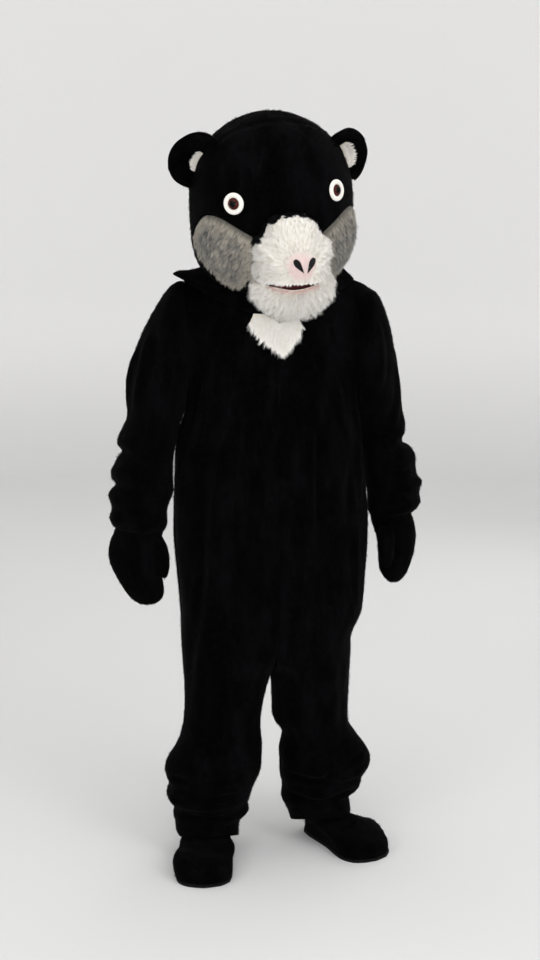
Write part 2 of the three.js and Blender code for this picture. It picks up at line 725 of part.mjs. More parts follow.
/** Places along the muzzle's base seam, from the right mouth corner over the top to the left one. */
const muzzle_base = [
  [-24, -140], [-24, -114], [-24, -88], [-24, -62], [-19, -62], [-14, -26], [-9, -11], [0, -10],
  [9, -11], [14, -26], [19, -62], [24, -62], [24, -88], [24, -114], [24, -140],
].map(([turn, h]) => headPoint(turn - Math.sign(turn) * turn_gap, h));
const jaw_base = [
  [24, -147], [27.7, -166], [27.7, -184], [25, -198], [14, -203], [0, -203],
  [-14, -203], [-25, -198], [-27.7, -184], [-27.7, -166], [-24, -147],
].map(([turn, h]) => headPoint(turn - Math.sign(turn) * turn_gap, h));

/** How far forward a section of size `q` (1 at the base, 0 at the tip) lies. */
const forwardShare = (q) => (1 - q ** muzzle_sharpness) ** (1 / muzzle_sharpness);

function upperMuzzlePoint(base, q) {
  const share = forwardShare(q);
  const full = q * (1 + upper_fullness * Math.sin(Math.PI * share));
  const lip = mouth_h - lip_drop * share;
  return new THREE.Vector3(base.x * full, lerp(base.y, -nose_reach, share), lip + (base.z - mouth_h) * full);
}

function jawPoint(base, q) {
  const share = forwardShare(q);
  const bulge = Math.sin(Math.PI * share);
  const lip = mouth_h - lip_drop * share - lerp(lip_gap.corner, lip_gap.front, share);
  return new THREE.Vector3(
    base.x * q * (1 + jaw_fullness.across * bulge),
    lerp(base.y, -jaw_reach, share),
    lip + (base.z - mouth_h + lip_gap.corner) * q * (1 + jaw_fullness.down * bulge));
}

const upper_muzzle = muzzle_rows.map((q) => muzzle_base.map((base) => upperMuzzlePoint(base, q)));
const lower_jaw = muzzle_rows.map((q) => jaw_base.map((base) => jawPoint(base, q)));
for (const [name, grid] of [['muzzle_upper', upper_muzzle], ['lower_jaw', lower_jaw]]) {
  addPiece(head, name, wall(grid.map((row) => [...row].reverse()), foam_backed_plush), white_fur());
}

// ---------- nose and mouth ----------
/** Point of the muzzle at a share of its base seam, moved out by `lift`. */
function muzzleSurface(t, q, lift) {
  const at = (share, size) => {
    const place = clamp01(share) * (muzzle_base.length - 1);
    const i = Math.min(Math.floor(place), muzzle_base.length - 2);
    return upperMuzzlePoint(muzzle_base[i].clone().lerp(muzzle_base[i + 1], place - i), size);
  };
  const across = at(t + 0.02, q).sub(at(t - 0.02, q));
  const forward = at(t, Math.max(q - 0.03, 0.01)).sub(at(t, Math.min(q + 0.03, 1)));
  return at(t, q).addScaledVector(forward.cross(across).normalize(), lift);
}

const nose_patch_span = {
  margin_outer: 0.3, margin_inner: 0.12, inner: 0.1, outer: 0.52, columns: 10, rows: 5,
};
const nose_thickness = 3;

const nose_grid = range(nose_patch_span.rows + 1).map((r) => {
  const inward = r / nose_patch_span.rows;
  const q = lerp(nose_patch_span.outer, nose_patch_span.inner, inward);
  const margin = lerp(nose_patch_span.margin_outer, nose_patch_span.margin_inner, inward);
  return spread(1 - margin, margin, nose_patch_span.columns)
    .map((t) => muzzleSurface(t, q, laid_on + nose_thickness));
});
addPiece(head, 'nose_patch', wall(nose_grid, nose_thickness), pink_plush());

// A nostril is a felt teardrop: its half width along its length, fat end up and outwards.
const nostril_shape = table(['along', 'half_width'], [0, 0.6], [0.25, 3], [0.55, 6.2], [0.8, 7], [1, 3.2]);
const nostril_low = { x: 4, h: -119 };
const nostril_high = { x: 22, h: -90 };
const nostril_shift = 7;

/** Share and size on the muzzle that give a place in its front view. */
function muzzlePlace(x, h) {
  const shares = range(201).map((i) => i / 200);
  const wanted = Math.atan2(x, h - mouth_h);
  const sizes = shares.map((t) => {
    const p = muzzleSurface(t, 0.4, 0);
    return Math.abs(Math.atan2(p.x, p.z - mouth_h) - wanted);
  });
  const t = shares[sizes.indexOf(Math.min(...sizes))];
  const reach = Math.hypot(x, h - mouth_h);
  const misses = shares.map((q) => {
    const p = muzzleSurface(t, q, 0);
    return Math.abs(Math.hypot(p.x, p.z - mouth_h) - reach);
  });
  return { t, q: shares[misses.indexOf(Math.min(...misses))] };
}

for (const [side, sign] of [['right', -1], ['left', 1]]) {
  const along = new THREE.Vector2(nostril_high.x - nostril_low.x, nostril_high.h - nostril_low.h);
  const across = new THREE.Vector2(along.y, -along.x).normalize();
  const grid = nostril_shape.map(({ along: share, half_width }) => spread(-1, 1, 4).map((k) => {
    const x = nostril_shift + sign * (nostril_low.x + along.x * share + across.x * half_width * k * sign);
    const h = nostril_low.h + along.y * share + across.y * half_width * k * sign;
    const place = muzzlePlace(x, h);
    return muzzleSurface(place.t, place.q, 2 * laid_on + nose_thickness + felt);
  }));
  addPiece(head, `nostril_${side}`, wall(grid, felt), black_felt());
}

const lining_inset = foam_backed_plush + laid_on;
const lining_half_height = 11.3;
const lining_sizes = [0.9, 0.76, 0.6, 0.42, 0.22];
const lining_thickness = 2.5;
const lining_setback = 8.7;
const lip_curve = [
  ...lining_sizes.map((q) => [-1, q]), [0, 0], ...[...lining_sizes].reverse().map((q) => [1, q]),
].map(([sign, q]) => {
  const lip = upperMuzzlePoint(muzzle_base[muzzle_base.length - 1], q);
  const shrink = 1 - lining_inset / 80;
  const y = Math.max(lip.y, -jaw_reach) + lining_inset + lining_setback;
  return new THREE.Vector3(sign * lip.x * shrink, y, lip.z + 2);
});
const lining_grid = [-lining_half_height, 0, lining_half_height].map((rise) => lip_curve.map((p) => (
  new THREE.Vector3(p.x, p.y, p.z + rise))));
addPiece(head, 'mouth_lining', wall(lining_grid, lining_thickness), mouth_red());

// ---------- eyes ----------
// `seat` is each eye's height over the rounded head, whose facets lie a little inside it.
const eye_places = {
  right: { turn: -37, h: 16, seat: 0.35 },
  left: { turn: 38, h: 31, seat: -0.5 },
};
const eye_ring = { outer: 24.5, inner: 13.6, thickness: 6 };
const iris = { radius: 13.2, height: 7.5, flat: 9 };
const pupil_height = 2.2;
const eye_segments = 24;

/** A turned piece standing on the head's surface, its axis along the surface's normal. */
function addTurned(name, profile, turn, h, lift, material) {
  const outline = profile.map(([radius, rise]) => new THREE.Vector2(radius, rise));
  const mesh = addPiece(head, name, new THREE.LatheGeometry(outline, eye_segments), material);
  mesh.position.copy(headPoint(turn, h, lift));
  mesh.quaternion.setFromUnitVectors(new THREE.Vector3(0, 1, 0), headNormal(turn, h));
}

for (const [side, { turn, h, seat }] of Object.entries(eye_places)) {
  const { outer, inner, thickness } = eye_ring;
  addTurned(`eye_ring_${side}`,
    [[inner, 0], [outer, 0], [outer, thickness * 0.6],
      [outer - 2.5, thickness], [inner + 1.5, thickness], [inner, 0]],
    turn, h, seat, white_felt());
  addTurned(`iris_${side}`,
    [[0, 0], [iris.radius, 0], [iris.radius, iris.height * 0.45], [iris.flat, iris.height], [0, iris.height]],
    turn, h, seat, iris_brown());
  addTurned(`pupil_${side}`,
    [[0, 0], [iris.flat - 0.5, 0], [iris.flat * 0.6, pupil_height * 0.8], [0, pupil_height]],
    turn, h, seat + iris.height + seam, pupil_black());
}

// ---------- ears ----------
// An ear is a cupped flap that grows from a curved line on the head's side.
const ear_thickness = 8;
const ear_columns = 10;
const ear_rows = 4;
const ear_line = { top_turn: 72, low_turn: 88, bow: 14, top_h: 142, low_h: 34 };
// How far the flap reaches along its line, from its top (0) to its lower end (1).
const ear_outline = table(['t', 'right', 'left'],
  [0, 32, 24], [0.08, 46, 38], [0.25, 64, 56], [0.42, 71, 66],
  [0.6, 69, 62], [0.76, 60, 46], [0.9, 38, 24], [1, 10, 6]);
const ear_cup = 26;
const ear_seat = { right: 0.9, left: 1.4 };
const ear_lean = { right: { drop: 0, forward: 6 }, left: { drop: 6, forward: -4 } };

function earPoint(side, t, s) {
  const sign = side === 'right' ? -1 : 1;
  const turn = lerp(ear_line.top_turn, ear_line.low_turn, t) + ear_line.bow * Math.sin(Math.PI * t);
  const h = lerp(ear_line.top_h, ear_line.low_h, smooth(t)) - ear_lean[side].drop;
  const base = headPoint(sign * turn, h, ear_seat[side]);
  const reach = readTable(ear_outline, 't', t)[side];
  const up = lerp(0.66, 0.2, t);
  const direction = new THREE.Vector3(sign * Math.sqrt(1 - up * up), 0.08, up);
  const cup = -(ear_cup + ear_lean[side].forward) * s * s * (0.35 + 0.65 * Math.abs(2 * t - 1)) - 4 * s;
  return base.addScaledVector(direction, reach * s).add(new THREE.Vector3(0, cup, 0));
}

for (const side of ['right', 'left']) {
  const rowAt = (s) => spread(0, 1, ear_columns).map((t) => earPoint(side, t, s));
  const outer = spread(0, 1, ear_rows).map(rowAt);
  const backwards = side === 'right' ? outer : outer.map((row) => [...row].reverse());
  addPiece(head, `ear_${side}`, wall(backwards, ear_thickness), black_plush());
}

// The ear's white fur lies in the cup, on the front of the flap.
const ear_fur_grid = { columns: 6, rows: 3 };
const ear_fur_span = {
  right: { low: 0.3, high: 0.78, inner: 0.08, outer: 0.36 },
  left: { low: 0.24, high: 0.8, inner: 0.08, outer: 0.5 },
};
const ear_fur_depth = 7;

for (const side of ['right', 'left']) {
  const { low, high, inner, outer } = ear_fur_span[side];
  const { columns, rows } = ear_fur_grid;
  const grid = range(rows + 1).map((r) => spread(low, high, columns).map((t) => {
    const s = lerp(inner, outer, r / rows);
    const across = earPoint(side, t + 0.02, s).sub(earPoint(side, t - 0.02, s));
    const along = earPoint(side, t, s + 0.02).sub(earPoint(side, t, s - 0.02));
    const forward = across.cross(along).normalize();
    if (forward.y > 0) forward.negate();
    return earPoint(side, t, s).addScaledVector(forward, ear_thickness + 2 * laid_on);
  }));
  const facing = side === 'right' ? grid : grid.map((row) => [...row].reverse());
  addPiece(head, `ear_fur_${side}`, wall(facing, ear_fur_depth), ear_fur_white());
}

// ---------- neck drape and bib ----------
// The drape hangs from the head's lower edge and the bib from the drape's front. Both rest on what
// is under them, so their points are set down on it.
suit.updateMatrixWorld(true);
costume.updateMatrixWorld(true);
const suit_cloth = suit.children.filter((piece) => /^(front|back|sleeve)_/.test(piece.name));

/** Where a ray first meets the pieces, or null. */
function meet(pieces, from, direction) {
  const hits = new THREE.Raycaster(from, direction).intersectObjects(pieces);
  return hits.length ? hits[0].point : null;
}

const down = new THREE.Vector3(0, 0, -1);
const rearward = new THREE.Vector3(0, 1, 0);
const above_shoulders = 1700;
const drape_clearance = 3;
const drape_gap = 1.5;
const drape_rows = 4;
const drape_turns = spread(-180, 180, 26).slice(0, -1);
const drape_edge = table(['turn', 'out', 'y', 'z'],
  [0, 0, -128, 1340],
  [30, 70, -116, 1370],
  [60, 150, -66, 1400],
  [90, 222, 0, 1430],
  [125, 160, 62, 1420],
  [150, 92, 96, 1400],
  [180, 0, 122, 1390]);
const flap = { turn: -92, spread: 21, reach: 25, rise: 28 };
const puff = { turn: 88, spread: 26, rise: 13 };

/** The drape's point: from under the head's edge, out and down on to the shoulders. */
function drapePoint(turn, s) {
  const start = headPoint(turn, seamHeight(neck_edge, turn) - drape_gap, -plush);
  head.localToWorld(start);
  const edge = readTable(drape_edge, 'turn', Math.abs(turn));
  const near_flap = Math.exp(-(((turn - flap.turn) / flap.spread) ** 2));
  const lift = flap.rise * near_flap + puff.rise * Math.exp(-(((turn - puff.turn) / puff.spread) ** 2));
  const end = new THREE.Vector3(
    Math.sign(turn) * edge.out - flap.reach * near_flap,
    edge.y,
    edge.z + lift);
  const p = start.lerp(end, s);
  const rest = meet(suit_cloth, new THREE.Vector3(p.x, p.y, above_shoulders), down);
  const lowest = rest ? rest.z + plush + drape_clearance : -Infinity;
  return new THREE.Vector3(p.x, p.y, Math.max(p.z, lowest + lift * s));
}

const drape_grid = spread(1, 0, drape_rows).map((s) => drape_turns.map((turn) => drapePoint(turn, s)));
const under_head = (r) => (r === drape_rows ? 'z' : null);
const drape_wall = wall(drape_grid, plush, { closed: true, seamAxis: under_head });
const drape = addPiece(costume, 'neck_drape', drape_wall, black_plush());

const bib_columns = 8;
const bib_depth = 11;
const bib_clearance = 2.2;
const before_chest = -600;
const bib_outline = table(['z', 'half_width', 'x'],
  [1250, 4, 16],
  [1266, 22, 12],
  [1290, 44, 6],
  [1316, 62, 1],
  [1342, 66, -4],
  [1360, 60, -5]);

drape.updateMatrixWorld(true);
/** Foremost cloth around a place on the chest, so that the bib bridges the drape's edge. */
function chestFront(x, z) {
  const around = [-16, -8, 0, 8, 16].flatMap((dz) => [-8, 0, 8].map((dx) => (
    meet([...suit_cloth, drape], new THREE.Vector3(x + dx, before_chest, z + dz), rearward))));
  return Math.min(...around.filter((hit) => hit).map((hit) => hit.y));
}

const bib_seat = bib_outline.map(({ z, half_width, x }) => spread(-1, 1, bib_columns).map((k) => {
  const at_x = x + k * half_width;
  return new THREE.Vector3(at_x, chestFront(at_x, z) - bib_clearance, z);
}));
const bib_normals = gridNormals(bib_seat, false);
const liftOff = (p, normal) => p.clone().addScaledVector(normal, bib_depth);
const bib_grid = bib_seat.map((row, r) => row.map((p, c) => liftOff(p, bib_normals[r][c])));
addPiece(costume, 'bib', wall(bib_grid, bib_depth, { normalGrid: bib_normals }), white_fur());

costume.position.z = -shoulder_height;
costume.updateMatrixWorld(true);

export default costume;
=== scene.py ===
"""The looks of a full-body fur costume: black plush suit, mittens and foot covers, and an animal head
with white and grey fur. Lengths are metres unless a name says mm. Right and left are the wearer's."""
import json
import math

import bmesh
import bpy
import numpy as np
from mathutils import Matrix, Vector
from mathutils.bvhtree import BVHTree
from mathutils.kdtree import KDTree

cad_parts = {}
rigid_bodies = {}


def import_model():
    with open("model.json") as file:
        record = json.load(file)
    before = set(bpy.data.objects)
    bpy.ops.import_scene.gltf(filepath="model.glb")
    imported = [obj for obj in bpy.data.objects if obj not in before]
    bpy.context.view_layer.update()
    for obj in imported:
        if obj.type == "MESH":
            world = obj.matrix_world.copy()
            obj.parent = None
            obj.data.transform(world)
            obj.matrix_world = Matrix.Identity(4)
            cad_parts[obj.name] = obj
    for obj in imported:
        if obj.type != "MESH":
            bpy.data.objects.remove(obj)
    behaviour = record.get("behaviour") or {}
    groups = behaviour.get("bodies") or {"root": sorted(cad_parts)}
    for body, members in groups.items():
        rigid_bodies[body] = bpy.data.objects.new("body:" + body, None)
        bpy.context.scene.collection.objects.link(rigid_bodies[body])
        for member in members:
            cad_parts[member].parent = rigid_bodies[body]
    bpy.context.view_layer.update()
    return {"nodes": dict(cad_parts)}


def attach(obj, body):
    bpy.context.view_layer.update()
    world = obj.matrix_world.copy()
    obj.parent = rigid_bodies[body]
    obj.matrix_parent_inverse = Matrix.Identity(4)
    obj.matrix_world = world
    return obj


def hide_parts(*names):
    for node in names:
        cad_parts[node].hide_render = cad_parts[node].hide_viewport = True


MM = 0.001
FLOOR = -1.440
SEAM_WIDE, SEAM_DEEP = 0.007, 0.0016

for leftover in list(bpy.data.objects):
    bpy.data.objects.remove(leftover)
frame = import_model()

# ---------------------------------------------------------------- camera

camera = bpy.data.objects.new("camera", bpy.data.cameras.new("camera"))
camera.data.sensor_fit = "VERTICAL"
camera.data.sensor_height = 36
camera.data.lens = 56.74
camera.location = (-0.515, -3.667, 0.087)
camera.rotation_euler = (math.radians(90 - 8.9), 0, math.radians(-8))
bpy.context.scene.collection.objects.link(camera)
bpy.context.scene.camera = camera
bpy.context.scene.view_settings.view_transform = "Standard"


class Level:
    """A number that changes over a surface."""

    def __init__(self, finish, socket):
        self.finish, self.socket = finish, socket

    def maths(self, operation, first, second):
        node = self.finish.add("ShaderNodeMath", {"operation": operation}, {0: first, 1: second})
        return Level(self.finish, node.outputs[0])

    def __add__(self, other):
        return self.maths("ADD", self, other)

    def __sub__(self, other):
        return self.maths("SUBTRACT", self, other)

    def __rsub__(self, other):
        return self.maths("SUBTRACT", other, self)

    def __mul__(self, other):
        return self.maths("MULTIPLY", self, other)

    __radd__, __rmul__ = __add__, __mul__

    def between(self, low, high):
        """0 at low and 1 at high, with a soft start and end."""
        node = self.finish.add(
            "ShaderNodeMapRange",
            {"interpolation_type": "SMOOTHSTEP"},
            {"Value": self, "From Min": low, "From Max": high},
        )
        return Level(self.finish, node.outputs["Result"])


class Finish:
    """A material, made of its shader's own settings and of what changes over the surface."""

    def __init__(self, name, **settings):
        self.material = bpy.data.materials.new(name)
        self.material.use_nodes = True
        self.tree = self.material.node_tree
        self.shader = self.tree.nodes["Principled BSDF"]
        for setting, value in settings.items():
            self.shader.inputs[setting.replace("_", " ")].default_value = value

    def add(self, kind, settings=None, sockets=None):
        """A node: its settings are made first, then the values or links of its sockets."""
        node = self.tree.nodes.new(kind)
        for setting, value in (settings or {}).items():
            setattr(node, setting, value)
        for socket, value in (sockets or {}).items():
            self.join(value, node.inputs[socket])
        return node

    def join(self, value, socket):
        value = value.socket if isinstance(value, Level) else value
        if isinstance(value, bpy.types.NodeSocket):
            self.tree.links.new(value, socket)
        else:
            socket.default_value = value

    def place(self, stretch=(1, 1, 1)):
        """The point on the object, in metres, squeezed along each axis."""
        here = self.add("ShaderNodeTexCoord").outputs["Object"]
        node = self.add("ShaderNodeVectorMath", {"operation": "MULTIPLY"}, {0: here, 1: stretch})
        return node.outputs[0]

    def noise(self, scale, detail=2.0, rough=0.5, stretch=(1, 1, 1)):
        node = self.add(
            "ShaderNodeTexNoise",
            None,
            {"Vector": self.place(stretch), "Scale": scale, "Detail": detail, "Roughness": rough},
        )
        return Level(self, node.outputs["Fac"])

    def strand(self):
        """What each strand of fur carries: how far along it a point is, its tuft, itself and its patch."""
        node = self.add("ShaderNodeAttribute", {"attribute_name": "strand"})
        parts = self.add("ShaderNodeSeparateColor", None, {0: node.outputs["Color"]})
        return [Level(self, out) for out in (*parts.outputs[:3], node.outputs["Alpha"])]

    def mixed(self, first, second, share):
        node = self.add("ShaderNodeMix", {"data_type": "RGBA"}, {0: share, 6: first, 7: second})
        return node.outputs[2]

    def colour(self, colour):
        self.join(colour, self.shader.inputs["Base Color"])

    def rough(self, level):
        self.join(level, self.shader.inputs["Roughness"])

    def raised(self, *layers):
        """Bumps, each one a height, its depth in metres and its strength."""
        normal = None
        for height, depth, strength in layers:
            sockets = {"Height": height, "Distance": depth, "Strength": strength}
            if normal:
                sockets["Normal"] = normal
            normal = self.add("ShaderNodeBump", None, sockets).outputs["Normal"]
        self.join(normal, self.shader.inputs["Normal"])


def rgb(red, green, blue):
    return (red, green, blue, 1.0)


# ---------------------------------------------------------------- finishes


def plush_finish(name, deep, lit, sheen, tint, gloss=0.12):
    """Short dense pile, with painted shade between the hairs and painted sheen in paler streaks where the nap
    would catch the light.
    """
    finish = Finish(
        name,
        Sheen_Weight=sheen,
        Sheen_Roughness=0.42,
        Sheen_Tint=tint,
        Specular_IOR_Level=gloss,
    )
    pile = finish.noise(620, 3, 0.62, (1, 1, 0.55))
    brushed = finish.noise(26, 4, 0.6, (1, 1, 0.35))
    broad = finish.noise(7, 3, 0.55, (1.2, 1, 0.3))
    # Painted sheen: the nap share lifts the colour from deep to lit in streaks, and the pile noise breaks it
    # up with painted shade between the hairs.
    nap = (brushed * 0.55 + broad * 0.45).between(0.42, 0.62)
    finish.colour(finish.mixed(deep, lit, nap * (pile.between(0.35, 0.7) * 0.75 + 0.25)))
    finish.rough(0.98 - nap * 0.16)
    finish.raised((brushed, 0.006, 0.35), (pile, 0.0022, 0.8))
    return finish.material


def fur_finish(name, root, tip, shade, patch, patch_tip, sheen, gloss=0.2):
    """Strands of fur: darker at the root than at the tip, which is painted shade between the strands and, on
    the black pile, a painted sheen on the paler tips; with tufts of another shade and patches of another
    colour.
    """
    finish = Finish(
        name, Sheen_Weight=sheen, Sheen_Roughness=0.5, Specular_IOR_Level=gloss, Roughness=0.75
    )
    along, tuft, itself, mask = finish.strand()
    # Painted shade: each strand is darker at its root than at its tip; on the black pile the paler tips are a
    # painted sheen.
    plain = finish.mixed(root, tip, along.between(0.0, 0.85))
    plain = finish.mixed(plain, shade, (tuft * 0.6 + itself * 0.4).between(0.55, 1.0) * 0.4)
    other = finish.mixed(patch, patch_tip, along.between(0.1, 1.0))
    finish.colour(finish.mixed(plain, other, mask))
    return finish.material


def felt_finish(name, colour, fleck):
    finish = Finish(name, Roughness=0.95, Sheen_Weight=0.25, Specular_IOR_Level=0.15)
    fibres = finish.noise(420, 4, 0.65)
    finish.colour(finish.mixed(colour, fleck, fibres.between(0.4, 0.7)))
    finish.raised((fibres, 0.0012, 0.7))
    return finish.material


def iris_finish():
    finish = Finish(
        "iris_plastic", Roughness=0.3, Specular_IOR_Level=0.1, Coat_Weight=0.12, Coat_Roughness=0.03
    )
    grain = finish.noise(260, 3, 0.6)
    finish.colour(finish.mixed(rgb(0.020, 0.002, 0.0015), rgb(0.105, 0.012, 0.006), grain.between(0.3, 0.7)))
    return finish.material


def pupil_finish():
    finish = Finish("pupil_plastic", Specular_IOR_Level=0.1, Coat_Weight=0.03, Coat_Roughness=0.03)
    grain = finish.noise(300)
    finish.colour(finish.mixed(rgb(0.0008, 0.0008, 0.0008), rgb(0.003, 0.0026, 0.0026), grain))
    finish.rough(grain * 0.06 + 0.08)
    return finish.material


def rubber_finish():
    finish = Finish("sole_rubber", Specular_IOR_Level=0.12)
    grain, scuffs = finish.noise(900, 2), finish.noise(38, 5, 0.7)
    worn = scuffs.between(0.5, 0.75)
    finish.colour(finish.mixed(rgb(0.0020, 0.0020, 0.0022), rgb(0.009, 0.0088, 0.0085), worn))
    finish.rough(scuffs * 0.25 + 0.6)
    finish.raised((grain, 0.0006, 0.5))
    return finish.material


# The plushes' deep and lit colours hold painted shade between the hairs and painted sheen; the furs' root and
# tip colours hold painted shade at the roots, and a painted sheen on the black pile's tips.
black = plush_finish(
    "black_plush", rgb(0.0004, 0.0004, 0.0005), rgb(0.0032, 0.0031, 0.0038), 0.012, rgb(0.6, 0.62, 0.7), 0.02
)
black_hair = fur_finish(
    "black_pile", rgb(0.0004, 0.0004, 0.0005), rgb(0.0032, 0.0031, 0.0038), rgb(0.0075, 0.0073, 0.0085),
    rgb(0.001, 0.001, 0.001), rgb(0.006, 0.006, 0.007), 0.008, 0.03,
)
white_skin = plush_finish(
    "white_backing", rgb(0.70, 0.65, 0.56), rgb(0.88, 0.85, 0.78), 0.15, rgb(1, 0.97, 0.92)
)
white_hair = fur_finish(
    "white_fur", rgb(0.86, 0.81, 0.71), rgb(0.99, 0.97, 0.93), rgb(0.95, 0.90, 0.81),
    rgb(0.55, 0.24, 0.22), rgb(0.85, 0.60, 0.56), 0.2,
)
grey_skin = plush_finish(
    "grey_backing", rgb(0.06, 0.06, 0.057), rgb(0.22, 0.20, 0.17), 0.1, rgb(0.9, 0.88, 0.82)
)
grey_hair = fur_finish(
    "grey_fur", rgb(0.14, 0.13, 0.11), rgb(0.54, 0.495, 0.42), rgb(0.28, 0.255, 0.21),
    rgb(0.034, 0.036, 0.038), rgb(0.20, 0.205, 0.20), 0.15,
)
pink = plush_finish("pink_plush", rgb(0.74, 0.56, 0.54), rgb(0.88, 0.74, 0.71), 0.2, rgb(1, 0.94, 0.92))
pink_hair = fur_finish(
    "pink_pile", rgb(0.80, 0.60, 0.58), rgb(0.93, 0.80, 0.77), rgb(0.88, 0.70, 0.68),
    rgb(0.78, 0.70, 0.63), rgb(0.95, 0.92, 0.88), 0.2,
)
black_felt = felt_finish("black_felt", rgb(0.002, 0.002, 0.002), rgb(0.009, 0.009, 0.010))
white_felt = felt_finish("white_felt", rgb(0.80, 0.78, 0.72), rgb(0.92, 0.90, 0.86))
mouth_cloth = felt_finish("mouth_cloth", rgb(0.060, 0.008, 0.010), rgb(0.15, 0.030, 0.030))
iris_plastic, pupil_plastic, sole_rubber = iris_finish(), pupil_finish(), rubber_finish()

# ---------------------------------------------------------------- skins taken from the frame


def unit(vectors):
    return vectors / np.maximum(np.linalg.norm(vectors, axis=-1, keepdims=True), 1e-12)


def welded(node):
    """The node's mesh with its doubled corners joined."""
    mesh = bmesh.new()
    mesh.from_mesh(frame["nodes"][node].data)
    bmesh.ops.remove_doubles(mesh, verts=mesh.verts, dist=1e-5)
    bmesh.ops.triangulate(mesh, faces=mesh.faces)
    mesh.verts.ensure_lookup_table()
    mesh.faces.ensure_lookup_table()
    mesh.verts.index_update()
    return mesh


def arrays(mesh, faces):
    """Points and triangles of those faces, without the points that they leave out."""
    points = np.array([corner.co[:] for corner in mesh.verts])
    triangles = np.array([[corner.index for corner in face.verts] for face in faces])
    used, triangles = np.unique(triangles, return_inverse=True)
    return points[used], triangles.reshape(-1, 3)


def whole(node):
    mesh = welded(node)
    result = arrays(mesh, mesh.faces)
    mesh.free()
    return result


def patches_of(faces):
    """The faces in groups that hang together."""
    groups, left = [], set(faces)
    while left:
        group, queue = [], [left.pop()]
        while queue:
            face = queue.pop()
            group.append(face)
            for edge in face.edges:
                for other in edge.link_faces:
                    if other in left:
                        left.discard(other)
                        queue.append(other)
        groups.append(group)
    return groups


creased = ("muzzle_upper", "mitten_right", "mitten_left", "foot_upper_right", "foot_upper_left")


def outer_skin(node, wall, facing=None):
    """The outer side of a piece of cloth, without its inner side and its rims: the larger side, or the
    one that looks a way."""
    mesh = welded(node)
    tree = BVHTree.FromBMesh(mesh)
    sides = []
    for face in mesh.faces:
        start = face.calc_center_median() - face.normal * 1e-5
        _, normal, _, far = tree.ray_cast(start, -face.normal, wall * 1.7)
        if normal and normal.dot(face.normal) < -0.8 and far > wall * 0.5:
            sides.append(face)

    def size(group):
        if facing:
            return sum(face.calc_area() * face.normal.dot(facing) for face in group)
        return sum(face.calc_area() for face in group)

    best = set(max(patches_of(sides), key=size))
    growing = best if node in creased else ()
    while growing:
        growing = {
            other
            for face in growing
            for edge in face.edges
            for other in edge.link_faces
            if other not in best and other.normal.angle(face.normal) < math.radians(50)
        }
        best = best | growing
    holes = sorted(patches_of(set(mesh.faces) - best), key=len)[:-1]
    best = best.union(*holes)
    result = arrays(mesh, sorted(best, key=lambda face: face.index))
    mesh.free()
    return result


# ---------------------------------------------------------------- rounding and thickening


def edges_of(triangles):
    """Each edge's ends, how many triangles use it, and for each triangle its edges 01, 12 and 20."""
    sides = np.concatenate([triangles[:, [0, 1]], triangles[:, [1, 2]], triangles[:, [2, 0]]])
    ends, where, uses = np.unique(np.sort(sides, 1), axis=0, return_inverse=True, return_counts=True)
    return ends, uses, where.reshape(3, -1).T


def cut_corners(points, triangles):
    """True where the flat cut turns a corner, from the angle that the cloth fills there."""
    filled = np.zeros(len(points))
    for k in range(3):
        here, after, before = (points[triangles[:, (k + step) % 3]] for step in range(3))
        cosine = (unit(after - here) * unit(before - here)).sum(1)
        np.add.at(filled, triangles[:, k], np.degrees(np.arccos(np.clip(cosine, -1, 1))))
    return (filled < 140) | (filled > 230)


def rounder_once(points, triangles):
    """One step of Loop's rounding. The first points stay the first, and rims keep to themselves."""
    ends, uses, where = edges_of(triangles)
    rim = uses == 1
    across = np.zeros((len(ends), 3))
    for k in range(3):
        np.add.at(across, where[:, k], points[triangles[:, (k + 2) % 3]])
    both = points[ends[:, 0]] + points[ends[:, 1]]
    middles = np.where(rim[:, None], both / 2, both * 3 / 8 + across / 8)
    ring, count = np.zeros_like(points), np.zeros(len(points))
    rim_ring, rim_count = np.zeros_like(points), np.zeros(len(points))
    for near, far in ((0, 1), (1, 0)):
        np.add.at(ring, ends[:, near], points[ends[:, far]])
        np.add.at(count, ends[:, near], 1)
        np.add.at(rim_ring, ends[rim, near], points[ends[rim, far]])
        np.add.at(rim_count, ends[rim, near], 1)
    share = np.where(count == 3, 3 / 16, 3 / (8 * np.maximum(count, 1)))[:, None]
    moved = points * (1 - count[:, None] * share) + ring * share
    on_rim = rim_count == 2
    moved[on_rim] = points[on_rim] * 0.75 + rim_ring[on_rim] / 8
    fixed = (rim_count > 2) | (on_rim & cut_corners(points, triangles))
    moved[fixed] = points[fixed]
    a, b, c = triangles.T
    ab, bc, ca = (where[:, k] + len(points) for k in range(3))
    finer = np.concatenate(
        [np.stack(t, 1) for t in ((a, ab, ca), (b, bc, ab), (c, ca, bc), (ab, bc, ca))]
    )
    return np.concatenate([moved, middles]), finer


def rounder(skin, times, fits=3):
    """The skin rounded so that it still goes through its own points, and its triangles one step before."""
    aim, triangles = skin
    hold = aim.copy()
    for _ in range(fits):
        tried = rounder_once(*rounder_once(hold, triangles))[0][: len(aim)]
        hold = hold + 0.85 * (aim - tried)
    points, coarse = hold, triangles
    for _ in range(times):
        coarse = triangles
        points, triangles = rounder_once(points, triangles)
    return points, triangles, coarse


def normals_of(points, triangles):
    a, b, c = (points[triangles[:, k]] for k in range(3))
    flat = np.cross(b - a, c - a)
    normals = np.zeros_like(points)
    for k in range(3):
        np.add.at(normals, triangles[:, k], flat)
    return unit(normals)


def areas_of(points, triangles):
    a, b, c = (points[triangles[:, k]] for k in range(3))
    return np.linalg.norm(np.cross(b - a, c - a), axis=1) / 2


